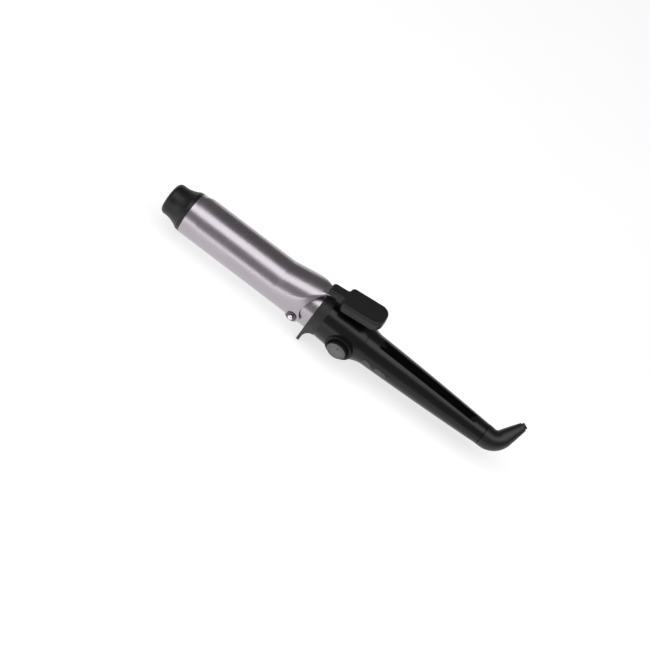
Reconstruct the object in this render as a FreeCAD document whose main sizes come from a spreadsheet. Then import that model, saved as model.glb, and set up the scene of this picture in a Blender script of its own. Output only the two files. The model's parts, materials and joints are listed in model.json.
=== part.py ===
# A 38 mm hair-curling iron: a heated barrel with a spring clip, a cool tip, a stand collar, a
# tapered handle with a heat dial and two push buttons, and a bent swivel boot for the cord.
#
# Frame, in millimetres: the origin is on the barrel's axis, in the plane of the stand collar's
# front face. +X runs along the axis to the cord end, +Z points to the clip's thumb lever, and
# -Y to the side that carries the heat dial.
import FreeCAD
import Part
import math
import os
import Sketcher
from FreeCAD import Placement, Rotation, Vector

DIMENSIONS = {
    # Barrel and what closes its front end
    "barrel_radius": 19.0,
    "barrel_wall": 1.0,
    "barrel_front": -131.5,
    "barrel_rear": 9.6,
    "bore_play": 0.1,
    "tip_length": 22.3,
    "tip_land_radius": 14.4,
    "tip_land_length": 3.0,
    "tip_edge_radius": 4.0,
    "tip_flare_radius": 26.0,
    "tip_rim_length": 3.5,
    "tip_rim_drop": 0.6,
    "tip_plug_length": 8.0,
    "tip_wall": 2.0,
    "tip_screw_radius": 1.5,
    "tip_screw_head_radius": 3.0,
    "tip_screw_head_height": 2.2,
    # Heater stack, in layers out from the barrel's axis
    "heater_front": -112.0,
    "heater_length": 70.0,
    "heater_wall": 1.7,
    "heater_floor": 2.0,
    "stack_half_height": 2.0,
    "film_thickness": 0.25,
    "electrode_thickness": 0.4,
    "ceramic_length": 20.0,
    "ceramic_pitch": 22.0,
    "stack_width": 22.0,
    "lead_radius": 0.8,
    "lead_end": 24.0,
    # Insulator that carries the barrel in the handle
    "insulator_front": -9.8,
    "insulator_bore_radius": 9.0,
    "insulator_neck_radius": 16.0,
    "insulator_flange_radius": 17.2,
    "insulator_flange_length": 3.0,
    "barrel_screw_x": 4.8,
    "barrel_screw_radius": 1.2,
    "barrel_screw_head_radius": 2.2,
    "barrel_screw_head_height": 0.9,
    # Clip and its pivot
    "clip_gap": 0.35,
    "clip_thickness": 0.95,
    "clip_front": -128.0,
    "clip_side_front": -113.7,
    "clip_half_angle": 76.0,
    "ramp_start": -38.7,
    "ramp_end": -0.8,
    "ramp_angle": 14.0,
    "ridge_start_y": 19.0,
    "ridge_end_y": 4.5,
    "flank_end_radius": 72.0,
    "ear_half_span": 20.9,
    "ear_radius": 6.2,
    "lever_angle": 9.0,
    "stem_half_width": 3.4,
    "stem_root_half_width": 5.2,
    "stem_root_length": 7.5,
    "stem_length": 42.0,
    "stem_drop": 0.35,
    "pivot_x": -13.6,
    "pivot_z": -2.5,
    "rivet_radius": 1.75,
    "rivet_head_radius": 2.3,
    "rivet_head_height": 2.6,
    "bushing_radius": 2.45,
    "bushing_flange_radius": 4.65,
    "bushing_flange_height": 0.7,
    "pivot_play": 0.05,
    # Leaf spring that closes the clip
    "spring_thickness": 0.5,
    "spring_half_width": 3.0,
    "spring_bend_x": -29.0,
    "spring_foot_end": -3.5,
    "spring_tip_x": -4.5,
    "spring_rise": 14.5,
    "spring_rivet_x": -18.0,
    "spring_rivet_radius": 1.2,
    # Thumb grip, in the plane of the lever
    "grip_top_z": 35.1,
    "grip_neck_length": 13.7,
    "grip_neck_half_width": 5.5,
    "grip_neck_depth": 7.3,
    "grip_nose": 1.0,
    "grip_nose_radius": 3.2,
    "grip_length": 50.8,
    "grip_half_width": 11.3,
    "grip_depth": 9.4,
    "grip_rear_radius": 8.5,
    "grip_front_radius": 3.5,
    "grip_edge_radius": 2.2,
    "grip_screw_first": 22.0,
    "grip_screw_pitch": 13.0,
    "grip_screw_sink": 2.0,
    # Stand collar and its fin
    "collar_radius": 20.0,
    "collar_play": 0.05,
    "collar_length": 9.8,
    "fin_thickness": 2.6,
    "fin_depth": 30.5,
    "fin_half_width": 16.5,
    "fin_corner": 2.5,
    # Handle shells
    "handle_front": 9.8,
    "handle_front_radius": 19.5,
    "head_x": 24.0,
    "head_radius": 20.3,
    "shoulder_x": 46.6,
    "shoulder_radius": 17.6,
    "grip_start_x": 56.0,
    "grip_start_radius": 14.9,
    "handle_rear": 171.4,
    "handle_rear_radius": 10.0,
    "handle_wall": 2.4,
    "cavity_radius": 17.3,
    "cavity_rear_radius": 8.0,
    "rear_wall": 3.4,
    "swivel_hole_radius": 6.55,
    # Handle screws
    "head_screw_x": 22.0,
    "head_screw_z": 13.0,
    "grip_screw_x": 112.0,
    "grip_screw_spacing": 20.0,
    "shell_screw_radius": 1.1,
    "shell_screw_head_radius": 2.2,
    "shell_boss_radius": 2.6,
    # Gloss strip on top of the handle
    "strip_front": 61.0,
    "strip_rear": 158.0,
    "strip_half_width": 4.1,
    "strip_rear_half_width": 3.8,
    "strip_depth": 0.5,
    "strip_proud": 0.15,
    "flat_depth": 0.8,
    "flat_margin": 1.0,
    "flat_run_out": 3.0,
    # Heat dial
    "dial_x": 33.0,
    "bezel_radius": 12.5,
    "bezel_bore_radius": 9.5,
    "bezel_seat": 15.0,
    "bezel_face": 20.9,
    "bezel_floor": 1.5,
    "knob_radius": 9.2,
    "knob_face": 24.0,
    "dial_cap_radius": 8.5,
    "dial_cap_height": 0.6,
    "shaft_radius": 3.0,
    "shaft_play": 0.05,
    "bushing_wall": 0.55,
    "pot_radius": 8.0,
    "pot_back": 8.6,
    # Push buttons and circuit board
    "on_x": 59.3,
    "on_length": 8.5,
    "on_face": 15.5,
    "off_x": 73.0,
    "off_length": 12.0,
    "off_face": 15.0,
    "button_width": 4.6,
    "button_play": 0.25,
    "button_flange": 1.0,
    "flange_back": 10.4,
    "flange_front": 11.0,
    "board_front": 47.5,
    "board_length": 57.0,
    "board_half_width": 8.0,
    "board_outer": 6.0,
    "board_thickness": 1.6,
    "board_screw_first": 50.5,
    "board_screw_second": 98.0,
    "switch_height": 3.4,
    "plunger_radius": 1.6,
    # Swivel and boot
    "core_radius": 6.5,
    "core_flange_radius": 7.4,
    "spindle_radius": 4.0,
    "ring_radius": 5.0,
    "ring_length": 3.5,
    "ring_first": 149.0,
    "ring_pitch": 7.0,
    "spigot_length": 6.5,
    "boot_front": 171.7,
    "boot_radius": 10.0,
    "boot_tip_radius": 4.0,
    "boot_straight": 4.5,
    "boot_bend_radius": 12.7,
    "boot_bend_angle": 67.0,
    "boot_tail": 18.8,
    "boot_turn": 52.0,
    "nub_radius": 2.9,
    "nub_length": 2.2,
    "cord_bore_radius": 1.9,
    "cord_bore_length": 12.0,
}

X_DIRECTION = (1, 0, 0)
Y_DIRECTION = (0, 1, 0)
Z_DIRECTION = (0, 0, 1)
OUT_OF_DIAL_SIDE = Rotation(Vector(0, 0, 1), -90)

doc = FreeCAD.newDocument("CurlingIron")
nodes = []


class Size:
    """A length or angle: its value now, and the expression that keeps it bound to the sheet."""

    def __init__(self, value, text=None):
        self.value = float(value)
        self.text = text or repr(float(value))

    def joined(self, other, sign, value):
        return Size(value, f"({self.text} {sign} {other.text})")

    def __add__(self, other):
        other = as_size(other)
        return self.joined(other, "+", self.value + other.value)

    def __radd__(self, other):
        return as_size(other) + self

    def __sub__(self, other):
        other = as_size(other)
        return self.joined(other, "-", self.value - other.value)

    def __rsub__(self, other):
        return as_size(other) - self

    def __mul__(self, other):
        other = as_size(other)
        return self.joined(other, "*", self.value * other.value)

    def __rmul__(self, other):
        return self * other

    def __truediv__(self, other):
        other = as_size(other)
        return self.joined(other, "/", self.value / other.value)

    def __neg__(self):
        return Size(0) - self

    def __abs__(self):
        return self if self.value >= 0 else -self


class Dimensions:
    """The sheet's cells by name, each as a Size."""


def as_size(item):
    return item if isinstance(item, Size) else Size(item)


def leg(hypotenuse, other):
    """The third side of a right-angled triangle."""
    value = math.sqrt(hypotenuse.value ** 2 - as_size(other).value ** 2)
    return Size(value, f"sqrt(({hypotenuse.text})^2 - ({as_size(other).text})^2)")


def fill_sheet():
    """Write the driving dimensions to the spreadsheet and return them as sizes."""
    sheet = doc.addObject("Spreadsheet::Sheet", "Dims")
    sizes = Dimensions()
    for row, (name, value) in enumerate(DIMENSIONS.items(), start=1):
        sheet.set(f"A{row}", name)
        sheet.set(f"B{row}", str(value))
        sheet.setAlias(f"B{row}", name)
        setattr(sizes, name, Size(value, f"Dims.{name}"))
    doc.recompute()
    return sizes


dim = fill_sheet()


# ---- Building blocks -------------------------------------------------------------------------


def bind(item, name, size):
    item.setExpression(name, as_size(size).text)


def put(item, place, rotation=Rotation()):
    """Place an object, with each coordinate bound."""
    item.Placement = Placement(Vector(*[as_size(part).value for part in place]), rotation)
    for axis, part in zip("xyz", place):
        bind(item, f"Placement.Base.{axis}", part)


def node(item, label):
    """Name a finished sub-part, which is written to a file of that name."""
    item.Label = label
    nodes.append(item)
    return item


def new_body(name):
    body = doc.addObject("PartDesign::Body", name)
    body.Label = name
    return body


def origin_part(body, role):
    return next(item for item in body.Origin.OriginFeatures if item.Role == role)


def new_sketch(body, plane, offset=0):
    """A sketch on one of the body's own origin planes, moved along the plane's normal."""
    sketch = body.newObject("Sketcher::SketchObject", body.Name + "_sketch")
    sketch.AttachmentSupport = (origin_part(body, plane + "_Plane"), [""])
    sketch.MapMode = "FlatFace"
    bind(sketch, "AttachmentOffset.Base.z", offset)
    return sketch


def constrain(sketch, kind, place, size):
    index = sketch.addConstraint(Sketcher.Constraint(kind, *place, as_size(size).value))
    bind(sketch, f"Constraints[{index}]", size)


def fix_point(sketch, curve, end, corner):
    constrain(sketch, "DistanceX", (-1, 1, curve, end), corner[0])
    constrain(sketch, "DistanceY", (-1, 1, curve, end), corner[1])


def arc_between(start, end, radius):
    """The shorter arc between two points; it turns left when the radius is positive."""
    chord = end - start
    rise = math.sqrt(max(radius ** 2 - (chord.Length / 2) ** 2, 0))
    left = Vector(-chord.y, chord.x, 0).normalize()
    centre = (start + end) / 2 + left * math.copysign(rise, radius)
    angles = [math.atan2(point.y - centre.y, point.x - centre.x) for point in (start, end)]
    if radius < 0:
        angles.reverse()
    return Part.ArcOfCircle(Part.Circle(centre, Vector(0, 0, 1), abs(radius)), *angles)


def outline(sketch, corners):
    """Draw a closed outline. A corner is (x, y), or (x, y, radius) where an arc leads to it."""
    first = sketch.GeometryCount
    points = [Vector(as_size(corner[0]).value, as_size(corner[1]).value, 0) for corner in corners]
    ends = []
    for index, corner in enumerate(corners):
        if len(corner) == 2:
            sketch.addGeometry(Part.LineSegment(points[index - 1], points[index]), False)
            ends.append((1, 2))
        else:
            radius = as_size(corner[2])
            curve = arc_between(points[index - 1], points[index], radius.value)
            sketch.addGeometry(curve, False)
            ends.append((1, 2) if radius.value > 0 else (2, 1))
    for index, corner in enumerate(corners):
        after = (index + 1) % len(corners)
        joint = (first + index, ends[index][1], first + after, ends[after][0])
        sketch.addConstraint(Sketcher.Constraint("Coincident", *joint))
        fix_point(sketch, first + index, ends[index][1], corner)
        if len(corner) == 3:
            constrain(sketch, "Radius", (first + index,), abs(as_size(corner[2])))


def rectangle(x_low, x_high, y_low, y_high):
    return [(x_low, y_low), (x_high, y_low), (x_high, y_high), (x_low, y_high)]


def obround(x, length, width):
    """The outline of a slot with round ends, along x."""
    straight = (as_size(length) - width) / 2
    half = as_size(width) / 2
    quarter = [(x + straight + half, 0, half), (x + straight, half, half), (x - straight, half)]
    return quarter + [(x - straight - half, 0, half), (x - straight, -half, half),
                      (x + straight, -half)]


def circle(sketch, x, y, radius):
    centre = Vector(as_size(x).value, as_size(y).value, 0)
    curve = Part.Circle(centre, Vector(0, 0, 1), as_size(radius).value)
    index = sketch.addGeometry(curve, False)
    fix_point(sketch, index, 3, (x, y))
    constrain(sketch, "Radius", (index,), radius)


def revolve(body, corners, angle=360, backward=False):
    """Turn an outline, drawn as (distance along X, radius), about the body's X axis."""
    sketch = new_sketch(body, "XZ")
    outline(sketch, corners)
    turn = body.newObject("PartDesign::Revolution", body.Name + "_turn")
    turn.Profile = sketch
    turn.ReferenceAxis = (sketch, ["H_Axis"])
    turn.Angle = angle
    turn.Reversed = backward
    return turn


def turned(name, corners):
    body = new_body(name)
    revolve(body, corners)
    return body


def pad(body, sketch, length, backward=False):
    feature = body.newObject("PartDesign::Pad", body.Name + "_pad")
    feature.Profile = sketch
    bind(feature, "Length", length)
    feature.Reversed = backward
    return feature


def pocket(body, sketch, length=None, forward=True, both_ways=False):
    """Cut a sketch's outline away along its normal, through all where no length is given."""
    feature = body.newObject("PartDesign::Pocket", body.Name + "_pocket")
    feature.Profile = sketch
    feature.Reversed = forward
    if both_ways:
        feature.SideType = "Symmetric"
    if length is None:
        feature.Type = "ThroughAll"
    else:
        bind(feature, "Length", length)
    return feature


def pocket_circle(body, plane, x, y, radius, **how):
    offset = how.pop("offset", 0)
    sketch = new_sketch(body, plane, offset)
    circle(sketch, x, y, radius)
    return pocket(body, sketch, **how)


def extruded(name, plane, start, stop, *outlines):
    """A body padded between two distances along the plane's normal."""
    body = new_body(name)
    sketch = new_sketch(body, plane, start)
    for corners in outlines:
        outline(sketch, corners)
    pad(body, sketch, as_size(stop) - start)
    return body


def round_edges(body, radius, chosen):
    """Fillet the edges of the body's last feature that the test picks out."""
    doc.recompute()
    last = body.Tip
    names = [f"Edge{number}" for number, edge in enumerate(last.Shape.Edges, start=1) if chosen(edge)]
    fillet = body.newObject("PartDesign::Fillet", body.Name + "_fillet")
    fillet.Base = (last, names)
    bind(fillet, "Radius", radius)
    return fillet


def box(name, x_range, y_range, z_range):
    item = doc.addObject("Part::Box", name)
    ranges = [[as_size(value) for value in ends] for ends in (x_range, y_range, z_range)]
    for side, (low, high) in zip(("Length", "Width", "Height"), ranges):
        bind(item, side, high - low)
    put(item, [low for low, high in ranges])
    return item


def cylinder(name, radius, length, place, direction=Z_DIRECTION):
    item = doc.addObject("Part::Cylinder", name)
    bind(item, "Radius", radius)
    bind(item, "Height", length)
    put(item, place, Rotation(Vector(0, 0, 1), Vector(*direction)))
    return item


def cut(name, base, tool):
    item = doc.addObject("Part::Cut", name)
    item.Base = base
    item.Tool = tool
    return item


def common(name, base, tool):
    item = doc.addObject("Part::Common", name)
    item.Base = base
    item.Tool = tool
    return item


def fuse(name, items):
    item = doc.addObject("Part::MultiFuse", name)
    item.Shapes = items
    return item


def group(name, items):
    """Several separate solids as one sub-part."""
    item = doc.addObject("Part::Compound", name)
    item.Links = items
    return item


def screw(name, head_radius, head_height, radius, length, seat, direction):
    """A round-headed screw: its head stands on the seat, and its shank goes the other way."""
    into = tuple(-part for part in direction)
    head = cylinder(name + "_head", head_radius, head_height, seat, direction)
    shank = cylinder(name + "_shank", radius, length, seat, into)
    return fuse(name, [head, shank])


def shaped(name, shape, placement=Placement()):
    """A sub-part whose shape is worked out here, with its sizes from the sheet."""
    item = doc.addObject("Part::Feature", name)
    item.Shape = shape
    item.Placement = placement
    return item


# ---- Barrel, tip and heater ------------------------------------------------------------------

bore_radius = dim.barrel_radius - dim.barrel_wall
inside_radius = bore_radius - dim.bore_play
tip_end = dim.barrel_front - dim.tip_length
screw_seat = tip_end + 3.0


def radial_holes(body, x, radius, count):
    """Holes through the wall, evenly spaced round the X axis from the top."""
    hole = pocket_circle(body, "XY", x, 0, radius)
    ring = body.newObject("PartDesign::PolarPattern", body.Name + "_ring")
    ring.Originals = [hole]
    ring.Axis = (origin_part(body, "X_Axis"), [""])
    ring.Angle = 360
    ring.Occurrences = count
    body.Tip = ring


def make_barrel_tube():
    body = turned("barrel_tube", rectangle(dim.barrel_front, dim.barrel_rear,
                                           bore_radius, dim.barrel_radius))
    pocket_circle(body, "XZ", dim.pivot_x, dim.pivot_z, dim.rivet_radius, both_ways=True)
    pocket_circle(body, "XY", dim.spring_rivet_x, 0, dim.spring_rivet_radius)
    radial_holes(body, dim.barrel_screw_x, dim.barrel_screw_head_radius, 3)
    node(body, "barrel_tube")


def make_cool_tip():
    edge_end = tip_end + dim.tip_edge_radius
    land_end = edge_end + dim.tip_land_length
    plug_end = dim.barrel_front + dim.tip_plug_length
    hollow_radius = dim.tip_land_radius - dim.tip_wall
    outside = [
        (tip_end, dim.tip_screw_head_radius + 0.3),
        (tip_end, dim.tip_land_radius - dim.tip_edge_radius),
        (edge_end, dim.tip_land_radius, -dim.tip_edge_radius),
        (land_end, dim.tip_land_radius),
        (dim.barrel_front - dim.tip_rim_length, dim.barrel_radius - dim.tip_rim_drop,
         dim.tip_flare_radius),
        (dim.barrel_front, dim.barrel_radius),
        (dim.barrel_front, inside_radius),
        (plug_end, inside_radius),
    ]
    inside = [
        (plug_end, inside_radius - dim.tip_wall),
        (dim.barrel_front, inside_radius - dim.tip_wall),
        (land_end, hollow_radius),
        (screw_seat + 3.0, hollow_radius),
        (screw_seat + 3.0, dim.tip_screw_radius),
        (screw_seat, dim.tip_screw_radius),
        (screw_seat, dim.tip_screw_head_radius + 0.3),
    ]
    node(turned("cool_tip", outside + inside), "cool_tip")


def make_tip_fixing():
    """The bridge fixed in the barrel's mouth, and the screw that draws the cool tip onto it."""
    plug_end = dim.barrel_front + dim.tip_plug_length
    post_radius = 4.0
    insert = turned("tip_insert", [
        (screw_seat + 3.0, dim.tip_screw_radius),
        (screw_seat + 3.0, post_radius),
        (plug_end, post_radius),
        (plug_end, inside_radius),
        (plug_end + 1.6, inside_radius),
        (plug_end + 1.6, 0),
        (dim.barrel_front - 2.0, 0),
        (dim.barrel_front - 2.0, dim.tip_screw_radius),
    ])
    node(insert, "tip_insert")
    node(turned("tip_screw", [
        (screw_seat - dim.tip_screw_head_height, 0),
        (screw_seat - dim.tip_screw_head_height, dim.tip_screw_head_radius - 0.6),
        (screw_seat - dim.tip_screw_head_height + 0.6, dim.tip_screw_head_radius),
        (screw_seat, dim.tip_screw_head_radius),
        (screw_seat, dim.tip_screw_radius),
        (dim.barrel_front - 3.0, dim.tip_screw_radius),
        (dim.barrel_front - 3.0, 0),
    ]), "tip_screw")


def heater_shell(name, turn):
    """A half-round heat spreader: thin wall against the barrel, flat floor against the stack."""
    low = dim.stack_half_height
    high = low + dim.heater_floor
    inner_radius = inside_radius - dim.heater_wall
    outer_half = leg(inside_radius, low)
    inner_half = leg(inner_radius, high)
    outer = [(outer_half, low), (-outer_half, low, inside_radius)]
    inner = [(inner_half, high), (-inner_half, high, inner_radius)]
    rear = dim.heater_front + dim.heater_length
    body = extruded(name, "YZ", dim.heater_front, rear, outer, inner)
    put(body, (0, 0, 0), Rotation(Vector(1, 0, 0), turn))
    node(body, name)


def make_heater():
    rear = dim.heater_front + dim.heater_length
    half = dim.stack_width / 2
    film_low = dim.stack_half_height - dim.film_thickness
    electrode_low = film_low - dim.electrode_thickness
    heater_shell("heater_shell_upper", 0)
    heater_shell("heater_shell_lower", 180)
    ceramics = []
    for index in range(3):
        front = dim.heater_front + 3.0 + dim.ceramic_pitch * index
        ceramics.append(box(f"ceramic_{index}", (front, front + dim.ceramic_length),
                            (-half, half), (-electrode_low, electrode_low)))
    node(group("ptc_ceramics", ceramics), "ptc_ceramics")
    front = dim.heater_front + 2.0
    node(group("electrode_plates", [
        box("electrode_top", (front, rear), (-half, half), (electrode_low, film_low)),
        box("electrode_bottom", (front, rear), (-half, half), (-film_low, -electrode_low)),
    ]), "electrode_plates")
    node(group("insulation_films", [
        box("film_top", (dim.heater_front, rear), (-half - 2, half + 2),
            (film_low, dim.stack_half_height)),
        box("film_bottom", (dim.heater_front, rear), (-half - 2, half + 2),
            (-dim.stack_half_height, -film_low)),
    ]), "insulation_films")


def make_sensing():
    """The thermistor and the sleeved thermal fuse on the spreaders, and the heater's wires."""
    floor = dim.stack_half_height + dim.heater_floor
    bead_radius = 1.3
    bead_z = -floor - bead_radius
    fuse_radius = 2.0
    sleeve_radius = 2.4
    fuse_z = floor + sleeve_radius
    wire_radius = 0.5
    node(cylinder("thermistor", bead_radius, 5.0, (-70.0, 0, bead_z), X_DIRECTION), "thermistor")
    node(cylinder("thermal_fuse", fuse_radius, 11.0, (-75.0, 0, fuse_z), X_DIRECTION), "thermal_fuse")
    node(turned_tube("fuse_sleeve", -77.5, -61.5, fuse_radius, sleeve_radius, fuse_z), "fuse_sleeve")
    rear = dim.heater_front + dim.heater_length
    electrode_z = dim.stack_half_height - dim.film_thickness - dim.electrode_thickness / 2
    node(group("heater_leads", [
        cylinder("lead_live", dim.lead_radius, dim.lead_end - rear, (rear, 5.0, electrode_z),
                 X_DIRECTION),
        cylinder("lead_neutral", dim.lead_radius, dim.lead_end - rear, (rear, -5.0, -electrode_z),
                 X_DIRECTION),
    ]), "heater_leads")
    node(group("sensor_leads", [
        cylinder("lead_sensor", wire_radius, dim.lead_end + 65.0, (-65.0, 0, bead_z), X_DIRECTION),
        cylinder("lead_fuse", wire_radius, dim.lead_end + 61.5, (-61.5, 0, fuse_z), X_DIRECTION),
    ]), "sensor_leads")


def turned_tube(name, front, rear, inner, outer, z=0):
    body = turned(name, rectangle(front, rear, inner, outer))
    put(body, (0, 0, z))
    return body


def make_insulator():
    neck_front = dim.barrel_rear
    flange_front = dim.handle_front + dim.handle_wall + 0.2
    flange_rear = flange_front + dim.insulator_flange_length
    body = turned("barrel_insulator", [
        (dim.insulator_front, dim.insulator_bore_radius),
        (dim.insulator_front, inside_radius),
        (neck_front, inside_radius),
        (neck_front, dim.insulator_neck_radius),
        (flange_front, dim.insulator_neck_radius),
        (flange_front, dim.insulator_flange_radius),
        (flange_rear, dim.insulator_flange_radius),
        (flange_rear, dim.insulator_bore_radius),
    ])
    radial_holes(body, dim.barrel_screw_x, dim.barrel_screw_radius, 3)
    node(body, "barrel_insulator")
    seat = dim.barrel_radius - 0.05 - dim.barrel_screw_head_height
    screws = []
    for index in range(3):
        angle = math.radians(120 * index)
        outward = (0, -math.sin(angle), math.cos(angle))
        place = (dim.barrel_screw_x, seat * outward[1], seat * outward[2])
        screws.append(screw(f"barrel_screw_{index}", dim.barrel_screw_head_radius - 0.05,
                            dim.barrel_screw_head_height, dim.barrel_screw_radius, 8.0,
                            place, outward))
    node(group("barrel_screws", screws), "barrel_screws")


# ---- Clip, pivot and spring ------------------------------------------------------------------

clip_inner_radius = dim.barrel_radius + dim.clip_gap
clip_outer_radius = clip_inner_radius + dim.clip_thickness
ramp_slope = math.tan(math.radians(dim.ramp_angle.value))


def ramp_top(x):
    """Height of the clip's ridge line of symmetry at a distance along the barrel."""
    return clip_outer_radius.value + ramp_slope * (x - dim.ramp_start.value)


def unit(vector):
    return Vector(vector).normalize()


def bent_edge(points):
    return Part.Arc(*points).toShape()


def clip_section(x):
    """The closed section of the clip's sheet across the barrel, with the ears at full depth.

    From the crown the sheet runs to a soft ridge on each side, down a bulged flank and into a
    flat ear. At the start of the ramp the crown and the flanks lie on the clip's own cylinder.
    """
    start_x = dim.ramp_start.value
    along = (x - start_x) / (dim.ramp_end.value - start_x)
    radius = clip_outer_radius.value
    thickness = dim.clip_thickness.value
    crown = Vector(x, 0, ramp_top(x))
    start_y = dim.ridge_start_y.value
    ridge_y = start_y - (start_y - dim.ridge_end_y.value) * along ** 3
    ridge = Vector(x, ridge_y, crown.z - radius + math.sqrt(radius ** 2 - ridge_y ** 2))
    side_y = radius + (dim.ear_half_span.value - radius) * min(2 * along, 1)
    side = Vector(x, side_y, 3.0 * min(2 * along, 1))
    flank_radius = radius + (dim.flank_end_radius.value - radius) * along
    chord = side - ridge
    bulge = flank_radius - math.sqrt(flank_radius ** 2 - (chord.Length / 2) ** 2)
    middle = (ridge + side) / 2 + unit((0, -chord.z, chord.y)) * bulge
    ear = Vector(x, side_y, -12.0)
    mirrored_ridge = Vector(x, -ridge.y, ridge.z)
    top_curve = Part.Circle(mirrored_ridge, crown, ridge)
    flank_curve = Part.Circle(ridge, middle, side)
    top_normal = unit(ridge - top_curve.Center)
    flank_normal = unit(ridge - flank_curve.Center)
    ridge_normal = unit(top_normal + flank_normal)
    turn = top_normal.getAngle(flank_normal)
    softness = 2.0
    before = Rotation(Vector(1, 0, 0), math.degrees(softness / top_curve.Radius))
    after = Rotation(Vector(1, 0, 0), -math.degrees(softness / flank_curve.Radius))
    top_end = top_curve.Center + before.multVec(ridge - top_curve.Center)
    flank_start = flank_curve.Center + after.multVec(ridge - flank_curve.Center)
    knee = ridge - ridge_normal * softness * math.tan(turn / 4)
    flank_middle_normal = unit(unit(flank_start - flank_curve.Center)
                               + unit(side - flank_curve.Center))
    flank_middle = flank_curve.Center + flank_middle_normal * flank_curve.Radius
    outward = [
        (crown, Vector(0, 0, 1)),
        (top_end, unit(top_end - top_curve.Center)),
        (knee, ridge_normal),
        (flank_start, unit(flank_start - flank_curve.Center)),
        (flank_middle, flank_middle_normal),
        (side, Vector(0, 1, 0)),
        (ear, Vector(0, 1, 0)),
    ]
    outer = [point for point, normal in outward]
    inner = [point - normal * thickness for point, normal in outward]
    ends = [Part.makeLine(outer[-1], inner[-1]), Part.makeLine(flipped(outer[-1]), flipped(inner[-1]))]
    return Part.Wire(Part.__sortEdges__(crossing(outer) + crossing(inner) + ends))


def flipped(point):
    return Vector(point.x, -point.y, point.z)


def crossing(points):
    """Edges over the crown, from the lower end of one ear to that of the other."""
    crown, top_end, knee, flank_start, flank_middle, side, ear = points
    flip = [flipped(point) for point in points]
    return [
        Part.makeLine(flip[6], flip[5]),
        bent_edge((flip[5], flip[4], flip[3])),
        bent_edge((flip[3], flip[2], flip[1])),
        bent_edge((flip[1], crown, top_end)),
        bent_edge((top_end, knee, flank_start)),
        bent_edge((flank_start, flank_middle, side)),
        Part.makeLine(side, ear),
    ]


def side_profile():
    """The clip's outline seen from the side: slanted front, straight edge, ear and arch."""
    edge_z = clip_outer_radius.value * math.cos(math.radians(dim.clip_half_angle.value))
    pivot = Vector(dim.pivot_x.value, 0, dim.pivot_z.value)
    above = 60.0
    front_top = Vector(dim.clip_front.value, 0, clip_outer_radius.value)
    front_low = Vector(dim.clip_side_front.value - 2.0, 0, edge_z + 2.0)
    side_start = Vector(dim.clip_side_front.value + 1.0, 0, edge_z)
    side_end = Vector(dim.pivot_x.value - 13.4, 0, edge_z)
    ear_radius = dim.ear_radius.value
    ear_points = [pivot + Vector(math.cos(angle), 0, math.sin(angle)) * ear_radius
                  for angle in map(math.radians, (166, 262, 346))]
    neck = Vector(dim.pivot_x.value - 8.0, 0, 2.3)
    arch_points = [
        ear_points[2],
        Vector(-6.0, 0, 0.3),
        Vector(-10.6, 0, 10.5),
        Vector(-8.5, 0, 18.1),
        Vector(-5.4, 0, 24.2),
        Vector(dim.ramp_end.value, 0, 27.7),
    ]
    arch = Part.BSplineCurve()
    arch.interpolate(arch_points[1:])
    end = arch_points[-1]
    far = Vector(end.x + 4.0, 0, end.z + 0.8)
    edges = [
        Part.makeLine(Vector(front_top.x, 0, above), front_top),
        Part.makeLine(front_top, front_low),
        bent_edge((front_low, Vector(front_low.x + 1.2, 0, edge_z + 0.6), side_start)),
        Part.makeLine(side_start, side_end),
        bent_edge((side_end, neck, ear_points[0])),
        bent_edge(ear_points),
        Part.makeLine(arch_points[0], arch_points[1]),
        arch.toShape(),
        Part.makeLine(end, far),
        Part.makeLine(far, Vector(far.x, 0, above)),
        Part.makeLine(Vector(far.x, 0, above), Vector(front_top.x, 0, above)),
    ]
    return Part.Face(Part.Wire(edges))


def lever_placement(x, z):
    """A frame that lies along the lever: x up its slope, z square to it."""
    return Placement(Vector(x, 0, z), Rotation(Vector(0, 1, 0), -dim.lever_angle.value))


def make_clip_shell():
    start = dim.ramp_start.value
    end = dim.ramp_end.value
    steps = 7
    stations = [start + (end - start) * index / steps for index in range(steps + 1)]
    hood = Part.makeLoft([clip_section(x) for x in stations], True, False)
    front_length = start - dim.clip_front.value + 2.0
    front = Part.Face(clip_section(start)).extrude(Vector(-front_length, 0, 0))
    half_span = 30.0
    prism = side_profile()
    prism.translate(Vector(0, -half_span, 0))
    prism = prism.extrude(Vector(0, 2 * half_span, 0))
    shell = front.fuse(hood).common(prism)
    stem_overlap = 4.0
    thickness = dim.clip_thickness.value
    half_width = dim.stem_half_width.value
    root_width = dim.stem_root_half_width.value
    stem_side = [
        Vector(-stem_overlap, root_width, -thickness),
        Vector(0, root_width, -thickness),
        Vector(dim.stem_root_length.value, half_width, -thickness),
        Vector(dim.stem_length.value, half_width, -thickness),
    ]
    stem_plan = stem_side + [flipped(corner) for corner in reversed(stem_side)]
    stem = Part.Face(Part.makePolygon(stem_plan + stem_plan[:1])).extrude(Vector(0, 0, thickness))
    stem_top = ramp_top(end) - dim.stem_drop.value
    shift = (dim.grip_top_z.value - stem_top) * math.sin(math.radians(dim.lever_angle.value))
    for index in range(2):
        x = dim.grip_screw_first.value + dim.grip_screw_pitch.value * index + shift
        stem = stem.cut(Part.makeCylinder(1.3, 10, Vector(x, 0, -5)))
    stem.Placement = lever_placement(end, stem_top)
    pivot_hole = Part.makeCylinder(dim.bushing_radius.value + dim.pivot_play.value, 2 * half_span,
                                   Vector(dim.pivot_x.value, -half_span, dim.pivot_z.value),
                                   Vector(0, 1, 0))
    shape = shell.fuse(stem).cut(pivot_hole).removeSplitter()
    node(shaped("clip_shell", shape.Solids[0]), "clip_shell")


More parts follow.
